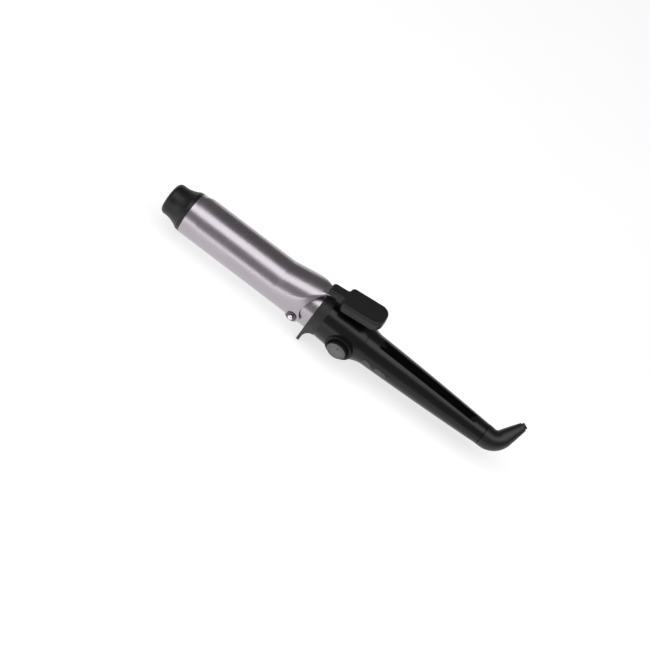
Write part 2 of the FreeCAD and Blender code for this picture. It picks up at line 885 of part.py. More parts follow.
def make_pivot():
    """Rivets through the barrel wall, with the bushings that the clip's ears turn on."""
    ear_face = dim.ear_half_span + 0.05
    rivets = []
    bushings = []
    washers = []
    for side in (-1, 1):
        outward = (0, side, 0)
        inner_y = bore_radius - 1.4
        head_y = ear_face + dim.bushing_flange_height
        shank = cylinder("rivet_shank", dim.rivet_radius, head_y - inner_y,
                         (dim.pivot_x, inner_y * side, dim.pivot_z), outward)
        head = cylinder("rivet_head", dim.rivet_head_radius, dim.rivet_head_height,
                        (dim.pivot_x, head_y * side, dim.pivot_z), outward)
        flare = cylinder("rivet_flare", dim.rivet_head_radius, 0.8,
                         (dim.pivot_x, (inner_y - 0.2) * side, dim.pivot_z), outward)
        rivets.append(fuse("rivet", [shank, head, flare]))
        washer_y = dim.barrel_radius + 0.02
        washer_rim = cylinder("washer_rim", 4.2, ear_face - 1.15 - washer_y,
                              (dim.pivot_x, washer_y * side, dim.pivot_z), outward)
        washer_bore = cylinder("washer_bore", dim.bushing_radius, 3.0,
                               (dim.pivot_x, (washer_y - 1.0) * side, dim.pivot_z), outward)
        washers.append(cut("washer", washer_rim, washer_bore))
        sleeve = cylinder("bushing_sleeve", dim.bushing_radius, ear_face - washer_y,
                          (dim.pivot_x, washer_y * side, dim.pivot_z), outward)
        flange = cylinder("bushing_flange", dim.bushing_flange_radius, dim.bushing_flange_height,
                          (dim.pivot_x, ear_face * side, dim.pivot_z), outward)
        bore = cylinder("bushing_bore", dim.rivet_radius, 6.0,
                        (dim.pivot_x, (washer_y - 1.0) * side, dim.pivot_z), outward)
        bushings.append(cut("bushing", fuse("bushing_blank", [sleeve, flange]), bore))
    node(group("pivot_rivets", rivets), "pivot_rivets")
    node(group("pivot_bushings", bushings), "pivot_bushings")
    node(group("pivot_washers", washers), "pivot_washers")


def make_clip_spring():
    """A leaf bent to a V: the lower leg lies on the barrel, the upper one lifts the lever."""
    low = dim.barrel_radius + 0.05
    outer = 0.85
    inner = outer - dim.spring_thickness
    centre_z = low + outer
    rise = math.radians(dim.spring_rise.value)
    lift = (-math.sin(rise), math.cos(rise))
    leg_x = dim.spring_tip_x - dim.spring_bend_x
    climb = leg_x * math.tan(rise)
    sketch_corners = [
        (dim.spring_foot_end, low),
        (dim.spring_bend_x, low),
        (dim.spring_bend_x - outer, centre_z, -outer),
        (dim.spring_bend_x + outer * lift[0], centre_z + outer * lift[1], -outer),
        (dim.spring_tip_x + outer * lift[0], centre_z + outer * lift[1] + climb),
        (dim.spring_tip_x + inner * lift[0], centre_z + inner * lift[1] + climb),
        (dim.spring_bend_x + inner * lift[0], centre_z + inner * lift[1]),
        (dim.spring_bend_x - inner, centre_z, inner),
        (dim.spring_bend_x, centre_z - inner, inner),
        (dim.spring_foot_end, centre_z - inner),
    ]
    body = extruded("clip_spring", "XZ", -dim.spring_half_width, dim.spring_half_width,
                    sketch_corners)
    pocket_circle(body, "XY", dim.spring_rivet_x, 0, dim.spring_rivet_radius,
                  offset=dim.barrel_radius, length=1.2)
    node(body, "clip_spring")
    node(fuse("spring_rivet", [
        cylinder("spring_rivet_head", 2.2, 0.5,
                 (dim.spring_rivet_x, 0, centre_z - inner)),
        cylinder("spring_rivet_shank", dim.spring_rivet_radius, centre_z - inner - bore_radius + 0.8,
                 (dim.spring_rivet_x, 0, bore_radius - 0.8)),
    ]), "spring_rivet")


def make_thumb_grip():
    """The moulded thumb paddle on the lever's stem, drawn in the lever's own frame."""
    body = new_body("thumb_grip")
    front = dim.grip_neck_length
    side = dim.grip_half_width
    neck = dim.grip_neck_half_width
    small = dim.grip_front_radius
    large = dim.grip_rear_radius
    inner = 2.0
    rear_corners = [
        (front + small, -side, small),
        (dim.grip_length - large, -side),
        (dim.grip_length, -side + large, large),
        (dim.grip_length, side - large),
        (dim.grip_length - large, side, large),
        (front + small, side),
        (front, side - small, small),
    ]
    nose = -dim.grip_nose
    corner = dim.grip_nose_radius
    upper = new_sketch(body, "XY", -dim.grip_neck_depth)
    outline(upper, [
        (nose, neck - corner, corner),
        (nose, -neck + corner),
        (nose + corner, -neck, corner),
        (front - inner, -neck),
        (front, -neck - inner, -inner),
        (front, -side + small),
        *rear_corners,
        (front, neck + inner),
        (front - inner, neck, -inner),
        (nose + corner, neck),
    ])
    pad(body, upper, dim.grip_neck_depth)

    def on_top_rim(edge):
        return edge.BoundBox.ZMin > -0.01

    round_edges(body, dim.grip_edge_radius, on_top_rim)
    lower = new_sketch(body, "XY", -dim.grip_depth)
    outline(lower, [(front, -side + small), *rear_corners])
    pad(body, lower, dim.grip_depth - dim.grip_neck_depth)

    def on_bottom_rim(edge):
        return edge.BoundBox.ZMax < -dim.grip_depth.value + 0.01

    round_edges(body, dim.grip_edge_radius - 0.4, on_bottom_rim)
    slot_top = -(dim.grip_top_z.value + dim.stem_drop.value - ramp_top(dim.ramp_end.value))
    slot_top = slot_top * math.cos(math.radians(dim.lever_angle.value)) + 0.06
    slot_bottom = slot_top - dim.clip_thickness - 0.12
    slot_half = dim.stem_half_width + 0.1
    slot = new_sketch(body, "YZ", -0.01)
    outline(slot, rectangle(-slot_half, slot_half, slot_bottom, slot_top))
    pocket(body, slot, length=dim.stem_length + 0.3)
    root_room = new_sketch(body, "XZ")
    outline(root_room, rectangle(nose - 1.0, dim.stem_root_length + 0.2,
                                 -dim.grip_neck_depth - 1.0, slot_top + 0.4))
    pocket(body, root_room, both_ways=True)
    head_seat = dim.grip_depth - dim.grip_screw_sink
    for index in range(2):
        x = dim.grip_screw_first + dim.grip_screw_pitch * index
        pocket_circle(body, "XY", x, 0, 1.2, offset=-dim.grip_depth, length=dim.grip_depth - 1.6)
        pocket_circle(body, "XY", x, 0, 2.5, offset=-dim.grip_depth, length=dim.grip_screw_sink)
    lever = lever_placement(dim.ramp_end.value, dim.grip_top_z.value)
    body.Placement = lever
    bind(body, "Placement.Base.x", dim.ramp_end)
    bind(body, "Placement.Base.z", dim.grip_top_z)
    node(body, "thumb_grip")
    screws = []
    for index in range(2):
        x = dim.grip_screw_first + dim.grip_screw_pitch * index
        seat = lever.multVec(Vector(x.value, 0, -head_seat.value))
        up = lever.Rotation.multVec(Vector(0, 0, 1))
        down = (-up.x, -up.y, -up.z)
        screws.append(screw(f"grip_screw_{index}", 2.2, 1.4, 1.15, 5.0, tuple(seat), down))
    node(group("thumb_grip_screws", screws), "thumb_grip_screws")


# ---- Stand collar and handle -----------------------------------------------------------------


def make_stand_collar():
    """A ring over the barrel's root, with a broad fin below that keeps the hot barrel raised."""
    inner = dim.barrel_radius + dim.collar_play
    web = dim.collar_length - dim.fin_thickness
    reach = dim.fin_depth + 6.0
    body = turned("stand_collar", [
        (0, inner),
        (0, reach),
        (dim.fin_thickness, reach),
        (dim.fin_thickness, dim.collar_radius + web),
        (dim.collar_length, dim.collar_radius, web),
        (dim.collar_length, inner),
    ])
    waist_z = -4.0
    waist_y = leg(dim.collar_radius, waist_z)
    corner = dim.fin_corner
    foot = dim.fin_half_width
    sketch = new_sketch(body, "YZ", -1.0)
    outline(sketch, rectangle(-2 * reach, 2 * reach, -2 * reach, 2 * reach))
    outline(sketch, [
        (waist_y, waist_z),
        (0, dim.collar_radius, dim.collar_radius),
        (-waist_y, waist_z, dim.collar_radius),
        (-foot - 0.2, -dim.fin_depth + corner),
        (-foot + corner, -dim.fin_depth, corner + 0.3),
        (foot - corner, -dim.fin_depth),
        (foot + 0.2, -dim.fin_depth + corner, corner + 0.3),
    ])
    pocket(body, sketch)
    node(body, "stand_collar")


TAPER_CURVE = 3700.0


def handle_outside():
    """The handle's outside, front to rear, as corners for an outline."""
    return [
        (dim.handle_front, dim.handle_front_radius),
        (dim.head_x, dim.head_radius),
        (dim.shoulder_x, dim.shoulder_radius, -50.0),
        (dim.grip_start_x, dim.grip_start_radius, 26.8),
        (dim.handle_rear - 0.4, dim.handle_rear_radius + 0.02, -TAPER_CURVE),
    ]


def taper_radius(x):
    """The handle's outside radius at a place on its long, slightly bulged taper."""
    along = x - dim.grip_start_x
    left = dim.handle_rear - x
    slope = (dim.grip_start_radius - dim.handle_rear_radius) / (dim.handle_rear - dim.grip_start_x)
    return dim.grip_start_radius - slope * along + along * left / (2 * TAPER_CURVE)


def handle_blank(name, backward):
    """Half of the hollow handle, with a wall at each end."""
    body = new_body(name)
    front_bore = dim.insulator_neck_radius + 0.1
    front_wall = dim.handle_front + dim.handle_wall
    rear_wall = dim.handle_rear - dim.rear_wall
    inside = [
        (dim.handle_rear, dim.handle_rear_radius - 0.3),
        (dim.handle_rear, dim.swivel_hole_radius),
        (rear_wall, dim.swivel_hole_radius),
        (rear_wall, dim.cavity_rear_radius),
        (dim.grip_start_x - 2.0, dim.grip_start_radius - 2.2),
        (dim.shoulder_x - 6.6, dim.cavity_radius),
        (front_wall, dim.cavity_radius),
        (front_wall, front_bore),
        (dim.handle_front, front_bore),
    ]
    revolve(body, handle_outside() + inside, 180, backward)
    return body


SCREW_POSTS = [
    (dim.head_screw_x, dim.head_screw_z, 10.0),
    (dim.head_screw_x, -dim.head_screw_z, 10.0),
    (dim.grip_screw_x, Size(0), 10.6),
    (dim.grip_screw_x + dim.grip_screw_spacing, Size(0), 10.2),
]
SCREW_SEAT = 6.0


def add_screw_posts(body, backward):
    """Posts inside a shell for the screws that hold the two shells together."""
    for x, z, length in SCREW_POSTS:
        sketch = new_sketch(body, "XZ")
        circle(sketch, x, z, dim.shell_boss_radius)
        pad(body, sketch, length, backward)


def top_flat():
    """What is cut off the top of the handle to leave a flat for the gloss strip."""
    front = dim.strip_front - dim.flat_margin
    rear = dim.strip_rear + dim.flat_margin
    rise = dim.flat_depth + 0.5
    clear = 20.0
    return extruded("top_flat", "XZ", -clear, clear, [
        (front - dim.flat_run_out, taper_radius(front) - dim.flat_depth + rise),
        (front, taper_radius(front) - dim.flat_depth),
        (rear, taper_radius(rear) - dim.flat_depth, -TAPER_CURVE),
        (rear + dim.flat_run_out, taper_radius(rear) - dim.flat_depth + rise),
        (rear + dim.flat_run_out, clear),
        (front - dim.flat_run_out, clear),
    ])


def make_handle_shells(strip):
    right = handle_blank("handle_right_blank", False)
    add_screw_posts(right, False)
    for x, length in ((dim.board_screw_first, 14.6), (dim.board_screw_second, 12.4)):
        post = new_sketch(right, "XZ", dim.board_outer)
        circle(post, x, 0, 2.2)
        pad(right, post, length - dim.board_outer)
        pocket_circle(right, "XZ", x, 0, 0.9, offset=dim.board_outer, length=4.2)
    for x, z, length in SCREW_POSTS:
        pocket_circle(right, "XZ", x, z, dim.shell_screw_radius, length=8.0)
    pocket_circle(right, "XZ", dim.dial_x, 0, dim.bezel_radius, offset=dim.bezel_seat)
    for x, length in ((dim.on_x, dim.on_length), (dim.off_x, dim.off_length)):
        slot = new_sketch(right, "XZ", dim.flange_front)
        outline(slot, obround(x, length + 2 * dim.button_play, dim.button_width + 2 * dim.button_play))
        pocket(right, slot)
    left = handle_blank("handle_left_blank", True)
    add_screw_posts(left, True)
    for x, z, length in SCREW_POSTS:
        pocket_circle(left, "XZ", x, z, dim.shell_screw_radius, forward=False)
        pocket_circle(left, "XZ", x, z, dim.shell_screw_head_radius + 0.2, forward=False,
                      offset=-SCREW_SEAT)
    flat = top_flat()
    node(cut("handle_right", cut("right_with_flat", right, flat), strip), "handle_shell_right")
    node(cut("handle_left", cut("left_with_flat", left, flat), strip), "handle_shell_left")
    screws = []
    for index, (x, z, length) in enumerate(SCREW_POSTS):
        screws.append(screw(f"shell_screw_{index}", dim.shell_screw_head_radius, 1.7,
                            dim.shell_screw_radius, SCREW_SEAT + 7.5, (x, SCREW_SEAT, z),
                            Y_DIRECTION))
    node(group("handle_screws", screws), "handle_screws")


def make_top_strip():
    """The gloss inlay along the top of the handle, which covers the seam of the shells."""
    front = dim.strip_front
    rear = dim.strip_rear
    wide = dim.strip_half_width
    narrow = dim.strip_rear_half_width
    start = front - dim.flat_margin
    end = rear + dim.flat_margin
    start_z = taper_radius(start) - dim.flat_depth
    end_z = taper_radius(end) - dim.flat_depth
    band = extruded("strip_band", "XZ", -2 * wide, 2 * wide, [
        (start, start_z + dim.strip_proud),
        (end, end_z + dim.strip_proud, -TAPER_CURVE),
        (end, end_z - dim.strip_depth),
        (start, start_z - dim.strip_depth, TAPER_CURVE),
    ])
    plan = extruded("strip_plan", "XY", 0, 2 * dim.grip_start_radius, [
        (front, wide - 1.6, 1.6),
        (front + 5.0, 0),
        (front, -wide + 1.6),
        (front + 1.6, -wide, 1.6),
        (rear - 4.0, -narrow),
        (rear, narrow),
        (front + 1.6, wide),
    ])
    return node(common("top_strip", band, plan), "top_strip")


# ---- Heat dial -------------------------------------------------------------------------------


def on_dial_axis(body):
    """Put a turned body on the dial's axis: its X runs out of the dial side."""
    put(body, (dim.dial_x, 0, 0), OUT_OF_DIAL_SIDE)
    return body


def make_dial():
    floor = dim.bezel_seat + dim.bezel_floor
    neck_bore = dim.shaft_radius + dim.shaft_play
    neck_radius = neck_bore + dim.bushing_wall
    face = dim.bezel_face
    bezel = turned("dial_bezel", [
        (dim.bezel_seat, neck_radius),
        (dim.bezel_seat, dim.bezel_radius),
        (face - 0.5, dim.bezel_radius),
        (face, dim.bezel_radius - 0.5),
        (face, dim.bezel_bore_radius + 0.4),
        (face - 0.4, dim.bezel_bore_radius),
        (floor, dim.bezel_bore_radius),
        (floor, neck_radius),
    ])
    node(on_dial_axis(bezel), "dial_bezel")
    knob = turned("dial_knob", [
        (floor + 0.5, dim.knob_radius - 2.0),
        (floor + 0.5, dim.knob_radius),
        (dim.knob_face - 0.6, dim.knob_radius),
        (dim.knob_face, dim.knob_radius - 0.6),
        (dim.knob_face, 0),
        (dim.knob_face - 1.0, 0),
        (dim.knob_face - 1.0, dim.shaft_radius),
        (dim.knob_face - 3.5, dim.shaft_radius),
        (dim.knob_face - 3.5, dim.knob_radius - 2.0),
    ])
    node(on_dial_axis(knob), "dial_knob")
    cap_face = dim.knob_face + dim.dial_cap_height
    cap = turned("dial_cap", [
        (dim.knob_face, 0),
        (dim.knob_face, dim.dial_cap_radius),
        (cap_face - 0.3, dim.dial_cap_radius),
        (cap_face, dim.dial_cap_radius - 0.3),
        (cap_face, 0),
    ])
    node(on_dial_axis(cap), "dial_cap")
    shaft = turned("dial_shaft", [
        (dim.pot_back + 1.4, 0),
        (dim.pot_back + 1.4, dim.shaft_radius),
        (dim.knob_face - 1.0, dim.shaft_radius),
        (dim.knob_face - 1.0, 0),
    ])
    node(on_dial_axis(shaft), "dial_shaft")
    neck_end = floor + 2.4
    pot = turned("potentiometer", [
        (dim.pot_back, 0),
        (dim.pot_back, dim.pot_radius),
        (dim.bezel_seat - 0.1, dim.pot_radius),
        (dim.bezel_seat - 0.1, neck_radius),
        (neck_end, neck_radius),
        (neck_end, neck_bore),
        (dim.pot_back + 1.0, neck_bore),
        (dim.pot_back + 1.0, 0),
    ])
    node(on_dial_axis(pot), "potentiometer")
    hexagon = [(5.2 * math.cos(math.radians(60 * side)), 5.2 * math.sin(math.radians(60 * side)))
               for side in range(6)]
    nut = extruded("potentiometer_nut", "YZ", floor, floor + 1.8, hexagon)
    pocket_circle(nut, "YZ", 0, 0, neck_radius, offset=floor - 0.5)
    node(on_dial_axis(nut), "potentiometer_nut")


# ---- Buttons and circuit board ---------------------------------------------------------------


def make_button(name, x, length, face):
    """A push button: a flange behind the handle's wall, and a cap with round ends through it."""
    body = new_body(name)
    flange = new_sketch(body, "XZ", dim.flange_back)
    outline(flange, obround(x, length + 2 * dim.button_flange, dim.button_width + 2 * dim.button_flange))
    pad(body, flange, dim.flange_front - dim.flange_back)
    stem = new_sketch(body, "XZ", dim.flange_back)
    outline(stem, obround(x, length, dim.button_width))
    pad(body, stem, face - dim.flange_back)

    def on_cap_rim(edge):
        return abs(edge.BoundBox.YMin + face.value) < 0.01 and edge.BoundBox.YLength < 0.01

    round_edges(body, 0.6, on_cap_rim)
    node(body, name)


def make_switch(name, x):
    """A board switch with its plunger's guide hole, and the plunger that the button pushes."""
    top = dim.board_outer + dim.switch_height
    half = 3.0
    block = box(name + "_block", (x - half, x + half), (-top, -dim.board_outer), (-half, half))
    guide = cylinder(name + "_guide", dim.plunger_radius + 0.05, 2.1, (x, -top + 2.0, 0),
                     (0, -1, 0))
    return cut(name, block, guide)


def make_board():
    """The control board, its components and the screws that hold it in the right shell."""
    outer = -dim.board_outer
    inner = outer + dim.board_thickness
    half = dim.board_half_width
    rear = dim.board_front + dim.board_length
    plate = extruded("circuit_board", "XZ", dim.board_outer - dim.board_thickness, dim.board_outer,
                     rectangle(dim.board_front, rear, -half, half))
    for x in (dim.board_screw_first, dim.board_screw_second):
        pocket_circle(plate, "XZ", x, 0, 0.9)
    node(plate, "circuit_board")
    screws = [screw("board_screw", 2.0, 1.2, 0.9, 5.4, (x, inner, 0), Y_DIRECTION)
              for x in (dim.board_screw_first, dim.board_screw_second)]
    node(group("board_screws", screws), "board_screws")
    node(box("mains_capacitor", (64.0, 77.0), (inner, inner + 6.4), (-6.0, 6.0)), "mains_capacitor")
    node(box("triac", (83.0, 93.0), (inner, inner + 4.4), (-5.0, 5.0)), "triac")
    node(box("control_chip", (55.0, 60.0), (inner, inner + 1.6), (-2.0, 2.0)), "control_chip")
    node(group("board_switches", [make_switch("switch_on", dim.on_x),
                                  make_switch("switch_off", dim.off_x)]), "board_switches")
    for name, x in (("on_plunger", dim.on_x), ("off_plunger", dim.off_x)):
        travel_room = 0.8
        back = dim.board_outer + dim.switch_height - 2.0 + travel_room
        node(cylinder(name, dim.plunger_radius, dim.flange_back - back, (x, -back, 0), (0, -1, 0)),
             name)
    holder_front = dim.ring_first - 2.0
    leads = [cylinder("supply_lead", dim.lead_radius, holder_front - rear, (rear, -4.5, z),
                      X_DIRECTION) for z in (4.0, -4.0)]
    node(group("supply_leads", leads), "supply_leads")


# ---- Swivel and boot -------------------------------------------------------------------------


def make_swivel():
    """The turning core with its slip rings, and the fixed holder with the brushes."""
    spindle_front = dim.ring_first - 3.0
    flange_rear = dim.handle_rear - dim.rear_wall - 0.4
    flange_front = flange_rear - 2.9
    shoulder = dim.handle_rear + 0.1
    spigot_end = dim.boot_front + dim.spigot_length
    wire_radius = 1.6
    node(turned("swivel_core", [
        (spindle_front, 0),
        (spindle_front, dim.spindle_radius),
        (flange_front, dim.spindle_radius),
        (flange_front, dim.core_flange_radius),
        (flange_rear, dim.core_flange_radius),
        (flange_rear, dim.core_radius),
        (shoulder, dim.core_radius),
        (shoulder, dim.ring_radius),
        (spigot_end, dim.ring_radius),
        (spigot_end, wire_radius),
        (spindle_front + 4.0, wire_radius),
        (spindle_front + 4.0, 0),
    ]), "swivel_core")
    rings = []
    brushes = []
    gap = 0.05
    half_width = 1.0
    for index in range(2):
        front = dim.ring_first + dim.ring_pitch * index
        rear = front + dim.ring_length
        rings.append(turned_tube(f"slip_ring_{index}", front, rear, dim.spindle_radius,
                                 dim.ring_radius))
        low = dim.ring_radius + gap
        high = low + 0.75
        for name, z_range in (("upper", (low, high)), ("lower", (-high, -low))):
            brushes.append(box(f"brush_{name}_{index}", (front + 0.5, rear - 0.5),
                               (-half_width, half_width), z_range))
    node(group("slip_rings", rings), "slip_rings")
    node(group("contact_brushes", brushes), "contact_brushes")
    node(turned_tube("brush_holder", dim.ring_first - 2.0, dim.ring_first + 12.0, 5.9, 8.0),
         "brush_holder")


def boot_station(distance):
    """Centre, direction and radius of the boot at a distance along its bent centre line."""
    straight = dim.boot_straight.value
    bend = dim.boot_bend_radius.value
    full = math.radians(dim.boot_bend_angle.value)
    turned_by = min(max(distance - straight, 0) / bend, full)
    beyond = max(distance - straight - bend * full, 0)
    direction = Vector(math.cos(turned_by), 0, math.sin(turned_by))
    centre = Vector(min(distance, straight) + bend * math.sin(turned_by), 0,
                    bend * (1 - math.cos(turned_by))) + direction * beyond
    total = straight + bend * full + dim.boot_tail.value
    taper = max(distance - straight, 0) / (total - straight)
    shrink = dim.boot_radius.value - dim.boot_tip_radius.value
    return centre, direction, dim.boot_radius.value - shrink * taper ** 1.25


def make_boot():
    """The bent cord boot: round sections along a bend, with a short sleeve for the cord."""
    bend_length = dim.boot_bend_radius.value * math.radians(dim.boot_bend_angle.value)
    total = dim.boot_straight.value + bend_length + dim.boot_tail.value
    steps = 12
    sections = []
    for index in range(steps + 1):
        centre, direction, radius = boot_station(total * index / steps)
        sections.append(Part.Wire(Part.makeCircle(radius, centre, direction)))
    boot = Part.makeLoft(sections, True, False)
    tip, direction, radius = boot_station(total)
    overlap = 1.0
    nub = Part.makeCylinder(dim.nub_radius.value, dim.nub_length.value + overlap,
                            tip - direction * overlap, direction)
    mouth = tip + direction * dim.nub_length.value
    bore = Part.makeCylinder(dim.cord_bore_radius.value, dim.cord_bore_length.value, mouth,
                             -direction)
    socket = Part.makeCylinder(dim.ring_radius.value, dim.spigot_length.value + 0.01,
                               Vector(0, 0, 0), Vector(1, 0, 0))
    shape = boot.fuse(nub).cut(bore).cut(socket)
    turn = Rotation(Vector(1, 0, 0), -dim.boot_turn.value)
    place = Placement(Vector(dim.boot_front.value, 0, 0), turn)
    node(shaped("swivel_boot", shape.Solids[0], place), "swivel_boot")


# ---- The whole iron --------------------------------------------------------------------------


def build():
    make_barrel_tube()
    make_cool_tip()
    make_tip_fixing()
    make_heater()
    make_sensing()
    make_insulator()
    make_clip_shell()
    make_pivot()
    make_clip_spring()
    make_thumb_grip()
    make_stand_collar()
    make_handle_shells(make_top_strip())
    make_dial()
    make_button("on_button", dim.on_x, dim.on_length, dim.on_face)
    make_button("off_button", dim.off_x, dim.off_length, dim.off_face)
    make_board()
    make_swivel()
    make_boot()


def check():
    """Stop if any object failed, or if a sub-part has no valid shape."""
    for item in doc.Objects:
        failed = {"Invalid", "Error"} & set(item.State)
        if failed:
            raise RuntimeError(f"{item.Label} is {failed}")
    for item in nodes:
        if item.Shape.isNull() or not item.Shape.isValid() or not item.Shape.Solids:
            raise RuntimeError(f"{item.Label} has no valid shape")


def export():
    os.makedirs("parts", exist_ok=True)
    for item in nodes:
        item.Shape.exportStep(f"parts/{item.Label}.step")
        bounds = item.Shape.BoundBox
        print(f"{item.Label:22} {len(item.Shape.Solids)} solid(s) {item.Shape.Volume:9.1f} mm3 "
              f"x {bounds.XMin:.1f}..{bounds.XMax:.1f}  y {bounds.YMin:.1f}..{bounds.YMax:.1f}  "
              f"z {bounds.ZMin:.1f}..{bounds.ZMax:.1f}")


build()
doc.recompute()
check()
export()
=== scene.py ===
"""A 38 mm curling iron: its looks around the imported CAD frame, with studio lights and camera.

The frame's axes: +X along the barrel to the cord end, +Z to the thumb lever, -Y to the heat dial.
"""

import json
import math

import bmesh
import bpy
from mathutils import Matrix, Vector


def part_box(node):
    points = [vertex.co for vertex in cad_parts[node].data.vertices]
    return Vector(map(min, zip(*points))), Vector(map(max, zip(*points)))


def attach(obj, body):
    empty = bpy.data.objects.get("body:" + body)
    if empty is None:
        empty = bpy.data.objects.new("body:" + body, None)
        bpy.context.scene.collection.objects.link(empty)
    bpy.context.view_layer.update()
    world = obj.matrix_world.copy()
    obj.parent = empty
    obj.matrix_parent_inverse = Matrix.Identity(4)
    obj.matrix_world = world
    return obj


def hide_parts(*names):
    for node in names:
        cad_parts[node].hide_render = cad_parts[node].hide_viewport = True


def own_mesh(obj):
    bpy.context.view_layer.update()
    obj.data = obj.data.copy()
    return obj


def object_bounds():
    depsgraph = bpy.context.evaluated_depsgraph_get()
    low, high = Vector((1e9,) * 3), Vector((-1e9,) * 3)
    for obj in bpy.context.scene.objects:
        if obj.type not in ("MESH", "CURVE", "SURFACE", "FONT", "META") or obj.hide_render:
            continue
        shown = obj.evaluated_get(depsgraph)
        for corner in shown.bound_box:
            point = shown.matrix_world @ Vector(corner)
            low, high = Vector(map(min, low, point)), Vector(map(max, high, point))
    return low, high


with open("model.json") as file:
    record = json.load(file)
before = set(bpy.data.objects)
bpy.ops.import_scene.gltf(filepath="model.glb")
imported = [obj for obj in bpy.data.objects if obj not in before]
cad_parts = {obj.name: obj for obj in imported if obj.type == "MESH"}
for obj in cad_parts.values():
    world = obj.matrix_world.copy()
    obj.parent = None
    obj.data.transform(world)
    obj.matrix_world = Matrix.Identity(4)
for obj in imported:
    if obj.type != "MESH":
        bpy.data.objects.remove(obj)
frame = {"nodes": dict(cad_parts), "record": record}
CAD_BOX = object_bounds()
MM = 0.001
SLOT_OF = {row["node"]: row["material_slot"] for row in frame["record"]["subparts"]}

DIAL_SIDE = Vector((0, -1, 0))
UP = Vector((0, 0, 1))

# Camera: it looks down on the dial side, and is rolled until the iron runs down to the right.
CAMERA_ELEVATION = math.radians(52.0)
CAMERA_ROLL = math.radians(37.25)
CAMERA_DISTANCE = 1.08
CAMERA_TARGET = Vector((12.95, -5.67, -4.44)) * MM
CAMERA_VIEW_ANGLE = math.radians(28.05)


def middle_and_size(node):
    """The middle and the size of a CAD node's box."""
    low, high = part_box(node)
    return (low + high) / 2, high - low


# ---- Node helpers ----------------------------------------------------------------------------


def add_node(tree, kind, outlet=0, settings=(), **inputs):
    """Add a shader node, set or link its inputs by name, and return one of its outputs."""
    made = tree.nodes.new("ShaderNode" + kind)
    for name, value in dict(settings).items():
        setattr(made, name, value)
    for name, value in inputs.items():
        socket = made.inputs[name.replace("_", " ")]
        if isinstance(value, bpy.types.NodeSocket):
            tree.links.new(value, socket)
        else:
            socket.default_value = value
    return made.outputs[outlet]


def object_point(tree, stretch=(1, 1, 1)):
    """The point in the object's own space, in metres, with each axis scaled."""
    point = add_node(tree, "TexCoord", "Object")
    return add_node(tree, "Mapping", Vector=point, Scale=stretch)


def noise(tree, size, detail=2.0, stretch=(1, 1, 1), roughness=0.5):
    """Cloudy variation from 0 to 1 whose features are about `size` across."""
    return add_node(tree, "TexNoise", "Fac", Vector=object_point(tree, stretch),
                    Scale=1 / size, Detail=detail, Roughness=roughness)


def wave_scale(size):
    """The scale at which a wave texture repeats every `size`."""
    return math.pi / (10 * size)


def waves(tree, size, direction="X", distortion=0.0):
    """Parallel bands that repeat every `size`."""
    return add_node(tree, "TexWave", "Fac", {"bands_direction": direction},
                    Vector=object_point(tree), Scale=wave_scale(size),
                    Distortion=distortion, Detail=0.0)


def between(tree, factor, low, high, start=0.0, end=1.0):
    """Map factor from start..end to low..high."""
    return add_node(tree, "MapRange", "Result", Value=factor, **{
        "From_Min": start, "From_Max": end, "To_Min": low, "To_Max": high})


def ramp(tree, factor, first, last):
    """A colour from factor: the two stops are each (place, (red, green, blue))."""
    output = add_node(tree, "ValToRGB", "Color", Fac=factor)
    for element, (place, colour) in zip(output.node.color_ramp.elements, (first, last)):
        element.position = place
        element.color = (*colour, 1)
    return output


def shades(tree, factor, colour, *stops):
    """One colour, darker or lighter by factor: the two stops are each (place, brightness)."""
    return ramp(tree, factor, *((place, [part * brightness for part in colour])
                                for place, brightness in stops))


def arithmetic(tree, operation, first, second):
    """A sum, product or the like of two factors or numbers."""
    output = add_node(tree, "Math", "Value", {"operation": operation})
    for socket, value in zip(output.node.inputs, (first, second)):
        if isinstance(value, bpy.types.NodeSocket):
            tree.links.new(value, socket)
        else:
            socket.default_value = value
    return output


def blended(tree, first, share, second):
    """A blend of two factors, with `share` of the first."""
    return arithmetic(tree, "ADD", arithmetic(tree, "MULTIPLY", first, share),
                      arithmetic(tree, "MULTIPLY", second, 1 - share))


def bump(tree, height, depth, under=None):
    """A normal from a height of 0..1 that is `depth` metres deep, laid over another normal."""
    inputs = {"Height": height, "Distance": depth, "Strength": 1.0}
    if under is not None:
        inputs["Normal"] = under
    return add_node(tree, "Bump", "Normal", **inputs)


def finish_of(name, detail, **uniform):
    """A material: uniform values on the shader's own sockets, and `detail` wired by a function.

    The function takes the node tree and returns what to link, by socket name.
    """
    material = bpy.data.materials.new(name)
    material.use_nodes = True
    tree = material.node_tree
    shader = tree.nodes["Principled BSDF"]
    for socket, value in uniform.items():
        shader.inputs[socket.replace("_", " ")].default_value = value
    for socket, output in detail(tree).items():
        tree.links.new(output, shader.inputs[socket.replace("_", " ")])
    return material


# ---- Materials -------------------------------------------------------------------------------


def coated_metal(colour):
    """Satin metallic coating: fine flakes, a faint brushing round the axis, and handling marks."""
    def detail(tree):
        flakes = noise(tree, 0.35 * MM)
        marks = noise(tree, 14 * MM, 3.0, (0.6, 1, 1))
        brushed = noise(tree, 0.5 * MM, 2.0, (1, 0.02, 0.02))
        shade = blended(tree, flakes, 0.6, marks)
        rough = blended(tree, marks, 0.7, brushed)
        return {"Base_Color": shades(tree, shade, colour, (0.3, 0.93), (0.7, 1.07)),
                "Roughness": between(tree, rough, 0.25, 0.33, 0.3, 0.7),
                "Normal": bump(tree, flakes, 0.001 * MM, bump(tree, brushed, 0.00012 * MM))}
    return detail


